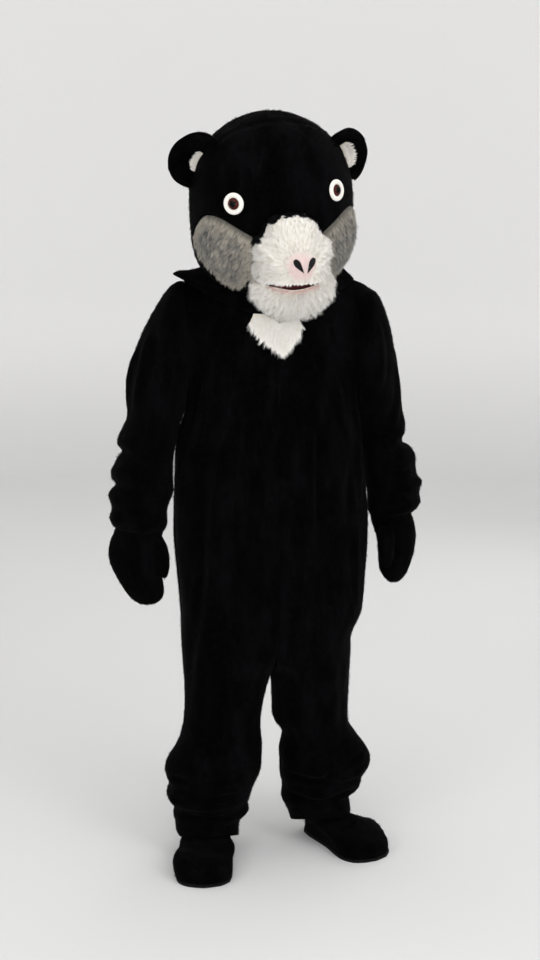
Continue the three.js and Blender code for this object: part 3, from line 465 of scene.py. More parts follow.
def thick(points, triangles, coarse, wall):
    """The cloth with its inner side, which needs fewer triangles, and the rims between them."""
    inner_count = coarse.max() + 1
    normals = normals_of(points, triangles)[:inner_count]
    inner = points[:inner_count] - normals * wall
    ends, uses, where = edges_of(coarse)
    start = len(points)
    rims = []
    for k in range(3):
        on_rim = uses[where[:, k]] == 1
        a, b = coarse[on_rim, k], coarse[on_rim, (k + 1) % 3]
        middle = where[on_rim, k] + inner_count
        rims += [
            np.stack([middle, a, a + start], 1),
            np.stack([middle, a + start, b + start], 1),
            np.stack([b, middle, b + start], 1),
        ]
    backs = coarse[:, ::-1] + start
    return np.concatenate([points, inner]), np.concatenate([triangles, backs, *rims])


# ---------------------------------------------------------------- meshes


def mesh_piece(name, points, triangles, material):
    mesh = bpy.data.meshes.new(name)
    mesh.vertices.add(len(points))
    mesh.vertices.foreach_set("co", np.asarray(points, np.float32).ravel())
    mesh.loops.add(triangles.size)
    mesh.loops.foreach_set("vertex_index", np.asarray(triangles, np.int32).ravel())
    mesh.polygons.add(len(triangles))
    mesh.polygons.foreach_set("loop_start", np.arange(0, triangles.size, 3, dtype=np.int32))
    mesh.polygons.foreach_set("use_smooth", np.full(len(triangles), True))
    mesh.update(calc_edges=True)
    mesh.validate()
    mesh.materials.append(material)
    piece = bpy.data.objects.new(name, mesh)
    bpy.context.scene.collection.objects.link(piece)
    return piece


def uneven(points, size, depth, seed, stretch=(1, 1, 1)):
    """Soft random waves over the points, about size apart and depth high."""
    draw = np.random.default_rng(seed)
    total = np.zeros(len(points))
    for _ in range(9):
        way = unit(draw.normal(size=3)) * np.array(stretch) * 2 * math.pi / size * draw.uniform(0.6, 1.4)
        total += np.sin(points @ way + draw.uniform(0, 2 * math.pi))
    return total * depth / 3


def fold_line(tree, side, line_mm):
    """A line on the cloth, from places seen from one side: across and up, in millimetres."""
    away = {"front": (0, -1, 0), "back": (0, 1, 0), "right": (-1, 0, 0), "left": (1, 0, 0)}[side]
    line = []
    for across, up in line_mm:
        flat = (across, 0, up) if side in ("front", "back") else (0, across, up)
        start = Vector(flat) * MM + Vector(away)
        hit = tree.ray_cast(start, -Vector(away))[0]
        if hit is None:
            hit = tree.find_nearest(start - Vector(away) * 0.95)[0]
        line.append(hit[:])
    return np.array(line)


def folded(points, triangles, folds):
    """How far each point stands out or in because of the folds."""
    tree = BVHTree.FromPolygons(points.tolist(), triangles.tolist())
    normals = normals_of(points, triangles)
    total = np.zeros(len(points))
    for side, width_mm, height_mm, line_mm in folds:
        line = fold_line(tree, side, line_mm)
        steps = np.linalg.norm(np.diff(line, axis=0), axis=1)
        run = np.concatenate([[0], np.cumsum(steps)])
        near, at = np.full(len(points), 1e9), np.zeros(len(points))
        for k, (start, step) in enumerate(zip(line[:-1], np.diff(line, axis=0))):
            share = np.clip((points - start) @ step / max(steps[k] ** 2, 1e-12), 0, 1)
            far = np.linalg.norm(points - start - share[:, None] * step, axis=1)
            closer = far < near
            near[closer], at[closer] = far[closer], (run[k] + share * steps[k])[closer]
        end = np.minimum(at, run[-1] - at) / run[-1]
        taper = np.clip(end / 0.22, 0, 1) ** 0.8
        wide = width_mm * MM * (0.6 + 0.4 * taper)
        crest = np.exp(-((near / wide) ** 2))
        dip_beside = np.exp(-((near / wide - 1.9) ** 2) * 1.6)
        total += height_mm * MM * taper * (crest - 0.35 * dip_beside)
    return total, normals


def rim_of(points, triangles):
    ends, uses, _ = edges_of(triangles)
    return points[np.unique(ends[uses == 1])]


def reach_from(places):
    """How far each of some points is from the nearest of those places."""
    tree = KDTree(len(places))
    for k, place in enumerate(places):
        tree.insert(place, k)
    tree.balance()
    return lambda points: np.array([tree.find(point)[2] for point in points])


def sunk_seam(points, triangles, wide, depth):
    """The cloth pulled in along its rims, where it is sewn."""
    far = reach_from(rim_of(points, triangles))(points)
    return -depth * np.exp(-((far / wide) ** 2))


# ---------------------------------------------------------------- fur


def strands(name, skin, count, length, width, flow, rise, material, seed, gather=0.55, tuft=9,
            steps=3, curl=0.25, loose=0.25, wanted=None, patch=None):
    """Fur: count strands that stand on the skin and lie along the flow, drawn together into tufts."""
    draw = np.random.default_rng(seed)
    points, triangles = skin[:2]
    corner = points[triangles]
    area = areas_of(points, triangles)
    face = draw.choice(len(area), count, p=area / area.sum())
    u, v = np.sqrt(draw.random(count)), draw.random(count)
    share = np.stack([1 - u, u * (1 - v), u * v], 1)[..., None]
    root = (corner[face] * share).sum(1)
    normal = unit((normals_of(points, triangles)[triangles[face]] * share).sum(1))
    if wanted is not None:
        keep = wanted(root)
        root, normal = root[keep], normal[keep]
    count = len(root)
    lie = flow(root, normal)
    lie = unit(lie - normal * (lie * normal).sum(1, keepdims=True))
    size = length(root) if callable(length) else np.full(count, length)
    heads = draw.choice(count, max(1, count // tuft), replace=False)
    tree = KDTree(len(heads))
    for k, head in enumerate(heads):
        tree.insert(root[head], k)
    tree.balance()
    mine = np.array([tree.find(place)[1] for place in root])
    swing = draw.normal(0, loose, (len(heads), 3))
    tuft_rise = rise * draw.uniform(0.7, 1.35, len(heads))
    tuft_size = draw.uniform(0.78, 1.15, len(heads))
    head = heads[mine]

    def leaning(base_lie, base_normal, angle, spread):
        lean = base_lie * np.cos(angle)[:, None] + base_normal * np.sin(angle)[:, None]
        return unit(lean + spread)

    shared = leaning(lie[head], normal[head], tuft_rise[mine], swing[mine])
    angle = rise * draw.uniform(0.6, 1.5, count)
    own = leaning(lie, normal, angle, swing[mine] * 0.5 + draw.normal(0, loose * 0.6, (count, 3)))
    size = size * tuft_size[mine] * draw.uniform(0.8, 1.12, count)
    bend = lie * 0.5 - normal * 0.75 + np.array([0, 0, -0.35])
    side = unit(np.cross(own, normal))
    turn = draw.normal(0, 0.45, count)[:, None]
    side = side * np.cos(turn) + np.cross(side, own) * np.sin(turn)
    half = (width * draw.uniform(0.6, 1.25, count) / 2)[:, None]
    rows, shade_rows = [], []
    for t in np.linspace(0, 1, steps + 1):
        reach = size[:, None] * (own * t + bend * curl * t * t)
        mate = root[head] + size[:, None] * (shared * t + bend * curl * t * t)
        middle = root + reach
        middle = middle + (mate - middle) * gather * t**1.4
        breadth = half * (1 - t) ** 0.55
        rows.append(middle - side * breadth)
        if t < 1:
            rows.append(middle + side * breadth)
        shade_rows += [t] * (2 if t < 1 else 1)
    per = len(rows)
    places = np.stack(rows, 1).reshape(-1, 3)
    first = np.arange(count)[:, None] * per
    pattern = []
    for k in range(steps - 1):
        a = 2 * k
        pattern += [(a, a + 1, a + 3), (a, a + 3, a + 2)]
    pattern.append((per - 3, per - 2, per - 1))
    triangles = (first[:, None] + np.array(pattern)[None]).reshape(-1, 3)
    piece = mesh_piece(name, places, triangles, material)
    mesh = piece.data
    mask = np.zeros(count) if patch is None else patch(root)
    data = np.zeros((count, per, 4))
    data[..., 0] = np.array(shade_rows)
    data[..., 1] = draw.random(len(heads))[mine][:, None]
    data[..., 2] = draw.random(count)[:, None]
    data[..., 3] = mask[:, None]
    colours = mesh.attributes.new("strand", "FLOAT_COLOR", "POINT")
    colours.data.foreach_set("color", data.astype(np.float32).ravel())
    across = math.ceil(math.sqrt(count))
    cell = np.stack([np.arange(count) % across, np.arange(count) // across], 1)
    edge_of = [k % 2 if k < per - 1 else 0.5 for k in range(per)]
    inside = np.array([(0.2 + 0.6 * edge, 0.12 + 0.76 * t) for edge, t in zip(edge_of, shade_rows)])
    places_uv = ((cell[:, None] + inside[None]) / across).reshape(-1, 2)
    corners = np.empty(len(mesh.loops), np.int32)
    mesh.loops.foreach_get("vertex_index", corners)
    layer = mesh.uv_layers.new(name="OFBake")
    layer.uv.foreach_set("vector", places_uv[corners].astype(np.float32).ravel())
    shown = unit(normal + 0.35 * own + draw.normal(0, 0.12, (count, 3)))
    mesh.normals_split_custom_set_from_vertices(np.repeat(shown, per, 0).tolist())
    return piece


def finish_piece(piece, slot, *nodes):
    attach(piece, "root")
    if nodes:
        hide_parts(*nodes)
    return piece


# ---------------------------------------------------------------- black plush

# Each fold: the side that it is seen from, its half width and its height (a trough is negative) in
# millimetres, and its line as (across, up) in millimetres.
folds = {
    "front_right": [
        ("front", 20, 9, [(-110, -230), (-125, -370), (-145, -545), (-160, -760), (-175, -860),
                          (-190, -995), (-205, -1090)]),
        ("front", 17, 8, [(-22, -320), (-35, -465), (-38, -595), (-50, -700), (-65, -860),
                          (-75, -1020), (-88, -1110)]),
        ("front", 13, 6, [(-78, -340), (-100, -445), (-118, -660), (-135, -860)]),
        ("front", 12, -7, [(-185, -205), (-180, -270), (-203, -365), (-218, -445)]),
        ("front", 12, 7, [(-160, -215), (-175, -275), (-203, -405), (-226, -500)]),
        ("front", 14, 5, [(-105, -100), (-130, -185), (-150, -245), (-168, -330)]),
        ("front", 14, 6, [(-150, -885), (-157, -1020), (-165, -1150)]),
        ("front", 12, 6, [(-108, -900), (-95, -1050), (-84, -1165)]),
        ("front", 11, -6, [(-60, -280), (-70, -400), (-85, -560), (-95, -700)]),
        ("front", 10, 4, [(-185, -560), (-190, -680), (-205, -800)]),
        ("front", 13, -5, [(-130, -905), (-125, -1000), (-128, -1110)]),
        ("front", 9, -9, [(-262, -1228), (-235, -1226), (-175, -1225), (-85, -1205), (-50, -1200)]),
        ("front", 9, -9, [(-262, -1276), (-230, -1280), (-175, -1275), (-120, -1270), (-60, -1276)]),
        ("front", 11, 6, [(-235, -1175), (-175, -1180), (-90, -1165)]),
        ("front", 8, -5, [(-215, -1322), (-170, -1330), (-110, -1322)]),
    ],
    "front_left": [
        ("front", 17, 8, [(118, -285), (132, -370), (135, -605), (155, -760), (162, -840)]),
        ("front", 14, 6, [(62, -260), (75, -400), (72, -540), (60, -680), (78, -865)]),
        ("front", 14, 6, [(200, -230), (210, -340), (208, -460), (212, -540)]),
        ("front", 12, 5, [(105, -165), (140, -240), (155, -285), (165, -350)]),
        ("front", 15, 6, [(55, -905), (75, -1040), (72, -1170)]),
        ("front", 14, 6, [(130, -895), (150, -1040), (168, -1160)]),
        ("front", 11, -6, [(100, -300), (102, -430), (98, -560), (112, -700)]),
        ("front", 11, 5, [(22, -350), (28, -480), (20, -620), (30, -760)]),
        ("front", 12, -5, [(180, -420), (178, -560), (188, -700), (196, -800)]),
        ("front", 13, -5, [(100, -930), (112, -1030), (120, -1130)]),
        ("front", 9, -9, [(38, -1246), (60, -1245), (125, -1255), (160, -1225), (225, -1200), (240, -1190)]),
        ("front", 9, -9, [(44, -1300), (70, -1306), (125, -1320), (190, -1297), (240, -1285)]),
        ("front", 11, 6, [(60, -1190), (120, -1196), (185, -1182)]),
        ("front", 9, 5, [(170, -1255), (210, -1248), (238, -1236)]),
    ],
    "back_right": [
        ("back", 18, 9, [(-60, -210), (-72, -380), (-70, -560), (-85, -720), (-95, -860)]),
        ("back", 15, 7, [(-130, -180), (-140, -330), (-150, -520), (-168, -700), (-172, -900),
                         (-185, -1060)]),
        ("back", 13, -7, [(-100, -260), (-108, -420), (-112, -600)]),
        ("back", 13, 6, [(-190, -240), (-200, -380), (-215, -520), (-205, -640)]),
        ("back", 15, 7, [(-30, -560), (-48, -690), (-70, -780), (-105, -830)]),
        ("back", 14, -6, [(-35, -740), (-70, -835), (-130, -880), (-185, -885)]),
        ("back", 14, 6, [(-115, -930), (-120, -1040), (-118, -1150)]),
        ("back", 14, 5, [(-165, -960), (-170, -1060), (-182, -1160)]),
        ("back", 12, 5, [(-25, -260), (-30, -380), (-24, -480)]),
        ("back", 9, -9, [(-258, -1232), (-190, -1240), (-110, -1228), (-45, -1222)]),
        ("back", 9, -8, [(-258, -1290), (-180, -1296), (-100, -1286), (-50, -1290)]),
        ("back", 11, 5, [(-230, -1182), (-160, -1190), (-90, -1180)]),
    ],
    "back_left": [
        ("back", 18, 9, [(55, -240), (62, -400), (75, -580), (80, -760), (92, -850)]),
        ("back", 16, 7, [(125, -170), (138, -330), (142, -500), (160, -690), (165, -860)]),
        ("back", 12, -6, [(95, -300), (102, -460), (110, -650)]),
        ("back", 13, 6, [(185, -250), (200, -400), (208, -520), (200, -620)]),
        ("back", 15, 7, [(25, -600), (42, -700), (75, -790), (110, -835)]),
        ("back", 14, -6, [(30, -760), (75, -840), (125, -870), (180, -880)]),
        ("back", 13, 6, [(80, -940), (88, -1050), (82, -1150)]),
        ("back", 13, 5, [(140, -930), (155, -1050), (150, -1150)]),
        ("back", 11, 5, [(22, -300), (30, -420), (22, -520)]),
        ("back", 9, -9, [(40, -1238), (110, -1250), (180, -1236), (240, -1222)]),
        ("back", 9, -8, [(44, -1296), (120, -1306), (190, -1294), (245, -1284)]),
        ("back", 11, 5, [(70, -1188), (140, -1196), (200, -1182)]),
    ],
    "sleeve_right": [
        ("front", 13, 6, [(-292, -110), (-318, -205), (-335, -305)]),
        ("front", 12, 6, [(-245, -130), (-257, -230), (-280, -330)]),
        ("front", 9, -7, [(-370, -362), (-335, -382), (-292, -395)]),
        ("front", 9, -6, [(-380, -445), (-330, -462), (-275, -448)]),
        ("front", 9, -6, [(-385, -512), (-340, -532), (-280, -518)]),
        ("front", 9, 5, [(-300, -340), (-318, -400), (-330, -440)]),
        ("back", 13, 6, [(-270, -110), (-290, -210), (-300, -300)]),
        ("back", 12, -6, [(-355, -330), (-310, -355), (-270, -345)]),
        ("back", 10, -6, [(-370, -430), (-330, -450), (-280, -440)]),
        ("right", 12, 6, [(-40, -150), (-35, -240), (-45, -330)]),
        ("right", 10, -6, [(-85, -395), (-40, -410), (10, -400)]),
        ("right", 10, -5, [(-90, -480), (-45, -492), (0, -480)]),
    ],
    "sleeve_left": [
        ("front", 13, 6, [(252, -95), (262, -170), (258, -265)]),
        ("front", 12, 6, [(310, -200), (318, -290), (300, -370)]),
        ("front", 9, -7, [(255, -412), (292, -398), (338, -384)]),
        ("front", 9, -6, [(258, -486), (300, -478), (350, -470)]),
        ("front", 9, -6, [(270, -518), (315, -508), (370, -502)]),
        ("front", 9, -5, [(262, -566), (305, -567), (355, -556)]),
        ("front", 9, 5, [(285, -420), (300, -450), (330, -462)]),
        ("back", 13, 6, [(265, -100), (285, -200), (300, -300)]),
        ("back", 12, -6, [(340, -330), (300, -350), (262, -345)]),
        ("back", 10, -6, [(362, -430), (320, -450), (272, -440)]),
        ("left", 12, 6, [(20, -150), (30, -240), (25, -330)]),
        ("left", 10, -6, [(-25, -395), (20, -410), (70, -400)]),
        ("left", 10, -5, [(-20, -480), (25, -492), (75, -480)]),
    ],
    "neck_drape": [
        ("front", 11, 5, [(-190, -10), (-165, -25), (-120, -30)]),
        ("front", 10, -4, [(-200, -30), (-170, -45), (-130, -60)]),
        ("back", 14, 5, [(-120, 0), (-60, -20), (10, -25)]),
        ("back", 12, -4, [(150, -10), (90, -30), (20, -45)]),
    ],
    "head_crown": [
        ("front", 9, -2.2, [(-150, 295), (-120, 332), (-65, 355), (-15, 365), (35, 367), (85, 360),
                            (130, 335)]),
    ],
    "foot_upper_right": [
        ("front", 6, -3.5, [(x * 0.9 - 18, -1437), (x, -1392)]) for x in (-242, -222, -200, -178, -158, -136)
    ],
    "foot_upper_left": [
        ("front", 6, -3.5, [(x * 0.95 + 12, -1437), (x, -1394)]) for x in (150, 172, 192, 214, 234, 254)
    ],
    "head_back": [
        ("back", 14, -3, [(-110, 110), (-60, 70), (0, 60), (60, 70), (110, 110)]),
    ],
}

# Where a stuffed place swells: its middle, its radius and its height, in millimetres.
swells = {
    "foot_upper_right": [
        ((-186, -215, -1392), 62, 11),
        ((-240, -160, -1398), 40, 10),
        ((-122, -120, -1392), 40, 10),
    ],
    "foot_upper_left": [
        ((212, -112, -1392), 58, 9),
        ((240, -50, -1385), 50, 20),
        ((208, -35, -1372), 42, 14),
    ],
}

# Where the worn suit is lifted: the middle, the reach and the way it moves, all in millimetres.
lifts = [
    ((-216, 0, -34), (42, 90, 50), (-3, 0, 19)),
    ((206, 0, -30), (52, 90, 46), (0, 0, 18)),
    ((-262, -30, -1225), (30, 90, 44), (-7, 0, 0)),
    ((-245, -20, -1312), (32, 90, 30), (-8, 0, 0)),
    ((-45, -20, -1245), (32, 90, 40), (-8, 0, 0)),
    ((-78, -20, -1330), (30, 90, 32), (-5, 0, 0)),
    ((-240, -60, -1385), (30, 110, 28), (-12, 0, 3)),
    ((-112, -80, -1385), (26, 90, 26), (9, 0, 0)),
    ((10, -10, -1125), (30, 80, 36), (-8, 0, 0)),
    ((14, -10, -1185), (32, 80, 32), (-16, 0, 0)),
]
own_lifts = {
    "neck_drape": [((-215, -10, -5), (45, 80, 50), (-6, 0, -3)), ((192, 0, -14), (42, 90, 45), (-4, 0, -14))],
    "sleeve_left": [((210, 0, -32), (18, 90, 38), (-7, 0, 0))],
}


def lifted(points, places):
    for middle, reach, way in places:
        far = ((points / MM - middle) / reach) ** 2
        points = points + np.exp(-far.sum(1))[:, None] * np.array(way) * MM
    return points


# Each piece: its wall, how often it is rounded and its waves' depth.
panels = {
    "front_right": (3, 3, 1.6),
    "front_left": (3, 3, 1.6),
    "back_right": (3, 3, 1.6),
    "back_left": (3, 3, 1.6),
    "sleeve_right": (3, 3, 1.2),
    "sleeve_left": (3, 3, 1.2),
    "neck_drape": (3, 3, 1.0),
    "head_crown": (9, 3, 0.8),
    "head_back": (9, 2, 0.6),
    "throat": (9, 2, 0.4),
    "mitten_right": (3, 2, 0.8),
    "mitten_left": (3, 2, 0.8),
    "foot_upper_right": (3, 3, 0.8),
    "foot_upper_left": (3, 3, 0.8),
}

skins, sewn = {}, {}
for number, (name, (wall, times, waves)) in enumerate(panels.items()):
    points, triangles, coarse = rounder(outer_skin(name, wall * MM), times)
    out, normals = folded(points, triangles, folds.get(name, ()))
    out = out + uneven(points, 0.16, waves * MM, number, (1, 1, 0.3))
    out = out + uneven(points, 0.05, waves * 0.3 * MM, 40 + number, (1, 1, 0.5))
    out = out + sunk_seam(points, triangles, SEAM_WIDE, SEAM_DEEP)
    for middle, radius, height in swells.get(name, ()):
        far = np.linalg.norm(points / MM - middle, axis=1)
        out = out + height * MM * np.exp(-((far / radius) ** 2))
    points = points + normals * out[:, None]
    if not name.startswith(("head", "throat")):
        points = lifted(points, lifts + own_lifts.get(name, []))
    skins[name] = (points, triangles)
    piece = mesh_piece("plush_" + name, *thick(points, triangles, coarse, wall * MM), black)
    sewn[name] = [finish_piece(piece, "black_plush", name)]

# ---------------------------------------------------------------- ears, eyes, nose and mouth

small = {
    "ear_right": (black, "black_plush", 2),
    "ear_left": (black, "black_plush", 2),
    "nose_patch": (pink, "pink_plush", 2),
    "nostril_right": (black_felt, "black_felt", 2),
    "nostril_left": (black_felt, "black_felt", 2),
    "mouth_lining": (mouth_cloth, "mouth_cloth", 2),
    "eye_ring_right": (white_felt, "white_felt", 2),
    "eye_ring_left": (white_felt, "white_felt", 2),
    "iris_right": (iris_plastic, "iris_plastic", 2),
    "iris_left": (iris_plastic, "iris_plastic", 2),
    "pupil_right": (pupil_plastic, "pupil_plastic", 2),
    "pupil_left": (pupil_plastic, "pupil_plastic", 2),
}
for name, (material, slot, times) in small.items():
    points, triangles, _ = rounder(whole(name), times, 1)
    if name == "mouth_lining":
        points[:, 2] -= np.clip((points[:, 2].max() - points[:, 2]) / np.ptp(points[:, 2]), 0, 1) * 0.012
    skins[name] = (points, triangles)
    sewn[name] = [finish_piece(mesh_piece("soft_" + name, points, triangles, material), slot, name)]


def reach_of(name):
    """How far each of some places is from a piece."""
    points, triangles = skins[name]
    tree = BVHTree.FromPolygons(points.tolist(), triangles.tolist())
    return lambda places: np.array([tree.find_nearest(place)[3] for place in places])


from_nose = reach_of("nose_patch")
from_nostrils = [reach_of("nostril_right"), reach_of("nostril_left")]

# ---------------------------------------------------------------- white and grey fur

front = Vector((0, -1, 0))
rims = {}


brow_x = np.array([-0.080, -0.050, -0.031, 0.002, 0.040, 0.072, 0.080, 0.090, 0.125])
brow_z = np.array([0.080, 0.088, 0.128, 0.148, 0.148, 0.142, 0.122, 0.128, 0.124])


def above_brow(root):
    """How far above the ragged edge between the black and the white a place is."""
    return root[:, 2] - np.interp(root[:, 0], brow_x, brow_z) + 0.007 + uneven(root, 0.02, 0.0035, 31)


def narrowed_jaw(points):
    """The jaw rounded in towards the chin, with its lip lowered at the middle of the mouth."""
    low = np.clip((-0.028 - points[:, 2]) / 0.055, 0, 1)
    points[:, 0] += (0.036 - points[:, 0]) * 0.34 * low**1.4
    lip = np.exp(-(((points[:, 0] - 0.022) / 0.042) ** 2)) * np.clip((points[:, 2] + 0.040) / 0.025, 0, 1)
    points[:, 2] -= 0.008 * lip * (points[:, 1] < -0.18)
    return points


def shrunk(middle, shares):
    """Drawn in towards a point, so that the fur reaches the edge and not its backing."""
    return lambda points: middle + (points - middle) * shares


shaped = {
    "lower_jaw": narrowed_jaw,
    "bib": shrunk(np.array([0.0, -0.13, -0.070]), (0.86, 1, 0.76)),
    "ear_fur_right": shrunk(np.array([-0.166, -0.06, 0.284]), (0.62, 1, 0.70)),
    "ear_fur_left": shrunk(np.array([0.166, -0.035, 0.295]), (0.86, 1, 0.82)),
}
backings = {
    "muzzle_upper": (9, 7, None, white_skin, "white_fur"),
    "lower_jaw": (9, 7, None, white_skin, "white_fur"),
    "bib": (11, 7, front, white_skin, "white_fur"),
    "ear_fur_right": (7, 5, front, white_skin, "ear_fur"),
    "ear_fur_left": (7, 5, front, white_skin, "ear_fur"),
    "cheek_right": (9, 5, None, grey_skin, "grey_fur"),
    "cheek_left": (9, 5, None, grey_skin, "grey_fur"),
}
for name, (wall, sunk, facing, material, slot) in backings.items():
    points, triangles, coarse = rounder(outer_skin(name, wall * MM, facing), 2, 0)
    points = shaped.get(name, lambda points: points)(points)
    rims[name] = rim_of(points, triangles)
    standing = 0 if name == "bib" else 0.8
    if name == "muzzle_upper":
        standing = standing * ((points[:, 2] < 0.075) | (above_brow(points) > 0.004))
    low_rims = 1 - standing * np.exp(-((reach_from(rims[name])(points) / 0.010) ** 2))
    sink = sunk * MM * low_rims
    points = points - normals_of(points, triangles) * sink[:, None]
    skins[name] = (points, triangles)
    piece = mesh_piece("backing_" + name, *thick(points, triangles, coarse, 1.5 * MM), material)
    if name == "muzzle_upper":
        piece.data.materials.append(black)
        middles = np.empty(len(piece.data.polygons) * 3)
        piece.data.polygons.foreach_get("center", middles)
        is_black = above_brow(middles.reshape(-1, 3)) > 0.003
        piece.data.polygons.foreach_set("material_index", is_black.astype(int))
    sewn[name] = [finish_piece(piece, slot, name)]

nose = np.array([0.031, -0.285, 0.032])


def beside_the_mouth(root):
    return np.clip((np.abs(root[:, :1] - 0.020) - 0.052) / 0.012, 0, 1) * (root[:, 2:] < 0.045)


def from_the_nose(root, normal):
    away = unit(root - nose)
    droop = np.where(root[:, 2:] < 0.02, 0.5, 0.0) + 1.3 * beside_the_mouth(root)
    return away + np.array([0, 0, 1.0]) * (0.15 - droop)


def down_the_jaw(root, normal):
    sideways = np.clip((root[:, :1] - 0.03) / 0.08, -1, 1) * np.where(root[:, 2:] > -0.035, 1.7, 0.8)
    return sideways * np.array([1.0, 0, 0]) + np.array([0, 0.1, -1.0])


def down(root, normal):
    return np.tile([0.0, 0.0, -1.0], (len(root), 1)) + root[:, :1] * np.array([4.0, 0, 0])


def over_the_cheek(root, normal):
    side = np.sign(root[:, :1])
    return side * np.array([0.55, 0, 0]) + np.array([0, 0.35, -0.9])


def out_of_the_ear(root, normal):
    return np.sign(root[:, :1]) * np.array([0.8, 0, 0]) + np.array([0, 0, 0.35])


def lip(name, low, high):
    """The part of a rim along the mouth, between its corners."""
    rim = rims[name]
    near = (np.abs(rim[:, 0] - 0.020) < 0.056) & (rim[:, 1] < -0.19) & (rim[:, 2] > low) & (rim[:, 2] < high)
    return reach_from(rim[near])


from_upper_lip, from_lower_lip = lip("muzzle_upper", -0.03, 0.03), lip("lower_jaw", -0.04, 0.02)


def muzzle_length(root):
    held = np.clip(1 + above_brow(root) / 0.016, 0, 1)
    full = 0.019 * (1 - 0.45 * held) * np.where(root[:, 0] > 0.095, 1.2, 1.0)
    at_lip = np.exp(-((from_upper_lip(root) / 0.013) ** 2))
    at_nose = np.exp(-((from_nose(root) / 0.012) ** 2))
    short = 0.5 * at_lip + 0.4 * at_nose
    return full * (1 - np.minimum(short, 0.75))


def muzzle_wanted(root):
    return (above_brow(root) < 0) & (from_nose(root) > 0.0035) & (from_upper_lip(root) > 0.0012)


def brow_wanted(root):
    return above_brow(root) > 0.004


def jaw_length(root):
    return 0.022 * (1 - 0.72 * np.exp(-((from_lower_lip(root) / 0.013) ** 2)))


def lips(root):
    return 0.9 * np.exp(-((from_lower_lip(root) / 0.008) ** 2))


def at_the_sides(name):
    """The strip along the cheeks, where the fur stands up over the seam."""
    from_rim = reach_from(rims[name])

    def share(root):
        side = (root[:, 0] < -0.028) | (root[:, 0] > 0.098)
        return side & (from_rim(root) < 0.008) & (root[:, 2] < 0.078) & (root[:, 2] > -0.045)

    return share


def patches(name, low, high):
    """Mottling over a cheek, but not along its edge."""
    from_rim = reach_from(rims[name])

    def share(root):
        inside = np.clip((from_rim(root) - low) / (high - low), 0, 1)
        spots = 0.55 + uneven(root, 0.017, 0.30, 7, (1, 1, 0.6)) + uneven(root, 0.006, 0.24, 8, (1, 1, 0.5))
        return np.clip(inside * spots, 0, 1)

    return share


def furred(name, base, count, length, width, flow, rise, material, slot, seed, **ways):
    piece = strands(name, skins[base], count, length, width * MM, flow, rise, material, seed, **ways)
    sewn[base if base in sewn else "nose_patch"].append(finish_piece(piece, slot))


furred("fur_muzzle", "muzzle_upper", 24000, muzzle_length, 1.05, from_the_nose, 0.42, white_hair,
       "white_fur", 11, wanted=muzzle_wanted, tuft=13, gather=0.58, loose=0.36)
for seed, base in ((20, "muzzle_upper"), (21, "lower_jaw")):
    furred("fur_edge_" + base, base, 16000, 0.019, 1.0, from_the_nose if seed == 20 else down_the_jaw, 0.75,
           white_hair, "white_fur", seed, wanted=at_the_sides(base), tuft=8, loose=0.3)
furred("fur_brow", "muzzle_upper", 42000, 0.015, 1.6, from_the_nose, 0.62, black_hair, "white_fur", 19,
       wanted=brow_wanted, tuft=10, loose=0.3, steps=2)
furred("fur_jaw", "lower_jaw", 20000, jaw_length, 1.1, down_the_jaw, 0.40, white_hair, "white_fur", 12,
       wanted=lambda root: from_lower_lip(root) > 0.0012, patch=lips, tuft=13, gather=0.6, loose=0.36)
furred("fur_bib", "bib", 8000, 0.021, 1.2, down, 0.36, white_hair, "white_fur", 13,
       tuft=12, gather=0.62, loose=0.34)
for seed, side, length in ((14, "right", 0.009), (15, "left", 0.011)):
    furred("fur_ear_" + side, "ear_fur_" + side, 1600, length, 1.2, out_of_the_ear, 0.45, white_hair,
           "ear_fur", seed, loose=0.25)
for seed, name in ((16, "cheek_right"), (17, "cheek_left")):
    furred("fur_" + name, name, 12000, 0.019, 1.0, over_the_cheek, 0.34, grey_hair, "grey_fur", seed,
           patch=patches(name, 0.008, 0.030), tuft=9, gather=0.5, loose=0.2)


def clear_of_nostrils(root):
    return np.minimum(from_nostrils[0](root), from_nostrils[1](root)) > 0.0016


def fading(root):
    edge = np.sqrt((((root - nose) / np.array([0.034, 0.5, 0.034])) ** 2).sum(1))
    return np.clip((edge - 0.62) / 0.35, 0, 1)


front_of_nose = outer_skin("nose_patch", 3 * MM, front)
skins["nose_front"] = rounder(front_of_nose, 2, 1)[:2]
furred("pile_nose", "nose_front", 4600, 0.0055, 0.8, from_the_nose, 0.45, pink_hair, "pink_plush", 18,
       wanted=clear_of_nostrils, patch=fading, steps=2, gather=0.3, loose=0.3)

# ---------------------------------------------------------------- short black pile


def nap(root, normal):
    return np.tile([0.05, -0.05, -1.0], (len(root), 1))


pile_per_area = 54000
for number, name in enumerate([*panels, "ear_right", "ear_left"]):
    points, triangles = skins[name]
    count = int(areas_of(points, triangles).sum() * pile_per_area)
    furred("pile_" + name, name, count, 0.0065, 1.1, nap, 0.55, black_hair, "black_plush", 100 + number,
           steps=1, tuft=14, gather=0.35, curl=0.1, loose=0.3)

# ---------------------------------------------------------------- room

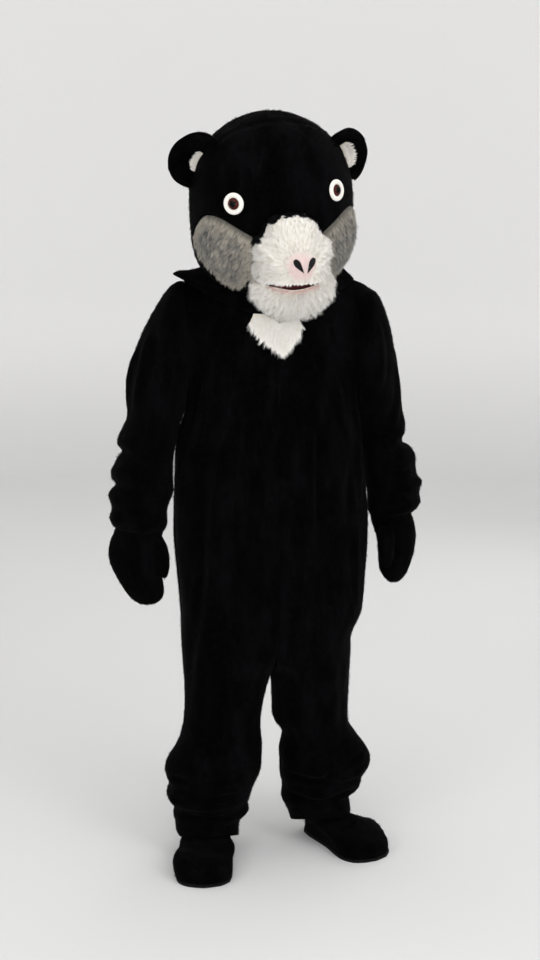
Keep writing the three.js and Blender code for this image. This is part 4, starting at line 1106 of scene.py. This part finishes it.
# A round floor that turns up into a wall, far enough out for every view to stand inside it.
profile = [(1.5, 0.0), (6.3, 0.0)]
profile += [(6.3 + 1.2 * math.sin(a), 1.2 - 1.2 * math.cos(a)) for a in np.linspace(0.1, math.pi / 2, 14)]
profile += [(7.5, 5.0)]
parts = 96
floor_points = [(0.0, 0.0, FLOOR)]
for radius, height in profile:
    turns = [2 * math.pi * k / parts for k in range(parts)]
    floor_points += [(radius * math.cos(a), radius * math.sin(a), FLOOR + height) for a in turns]
floor_triangles = [(0, 1 + k, 1 + (k + 1) % parts) for k in range(parts)]
for ring in range(len(profile) - 1):
    for k in range(parts):
        a, b = 1 + ring * parts + k, 1 + ring * parts + (k + 1) % parts
        floor_triangles += [(a, a + parts, b + parts), (a, b + parts, b)]
room = Finish("paper", Roughness=0.9, Specular_IOR_Level=0.1)
floor_colour = room.mixed(rgb(0.715, 0.72, 0.725), rgb(0.74, 0.745, 0.75), room.noise(0.8))
height = Level(room, room.add("ShaderNodeSeparateXYZ", None, {0: room.place()}).outputs[2])
room.colour(room.mixed(floor_colour, rgb(0.95, 0.95, 0.955), height.between(FLOOR - 0.1, FLOOR + 1.1)))
backdrop = mesh_piece("backdrop", np.array(floor_points), np.array(floor_triangles), room.material)


def lamp(name, place, aim, size, power, colour=(1, 1, 1)):
    light = bpy.data.objects.new(name, bpy.data.lights.new(name, "AREA"))
    light.data.shape = "RECTANGLE"
    light.data.size, light.data.size_y = size
    light.data.energy = power
    light.data.color = colour
    light.location = place
    light.rotation_euler = (Vector(aim) - Vector(place)).to_track_quat("-Z", "Y").to_euler()
    light.visible_camera = False
    bpy.context.scene.collection.objects.link(light)


lamp("key", (2.2, -3.4, 1.5), (0, 0, -0.3), (1.6, 2.0), 38)
lamp("fill", (-2.8, -3.2, 1.0), (0, 0, -0.4), (1.8, 2.2), 25)
lamp("low", (-0.4, -3.4, -0.6), (0, 0, 0.1), (1.6, 1.0), 30)
lamp("top", (0.2, -0.8, 2.6), (0, 0, -0.3), (2.6, 2.0), 18)
lamp("back", (1.9, 3.2, 1.2), (0, 0, -0.4), (1.8, 2.2), 16)
world = bpy.data.worlds.new("studio")
world.use_nodes = True
world.node_tree.nodes["Background"].inputs[0].default_value = (1.0, 0.985, 0.965, 1)
world.node_tree.nodes["Background"].inputs[1].default_value = 0.84
bpy.context.scene.world = world

for name in ("foot_sole_right", "foot_sole_left"):
    node = frame["nodes"][name]
    node.data.materials.clear()
    node.data.materials.append(sole_rubber)
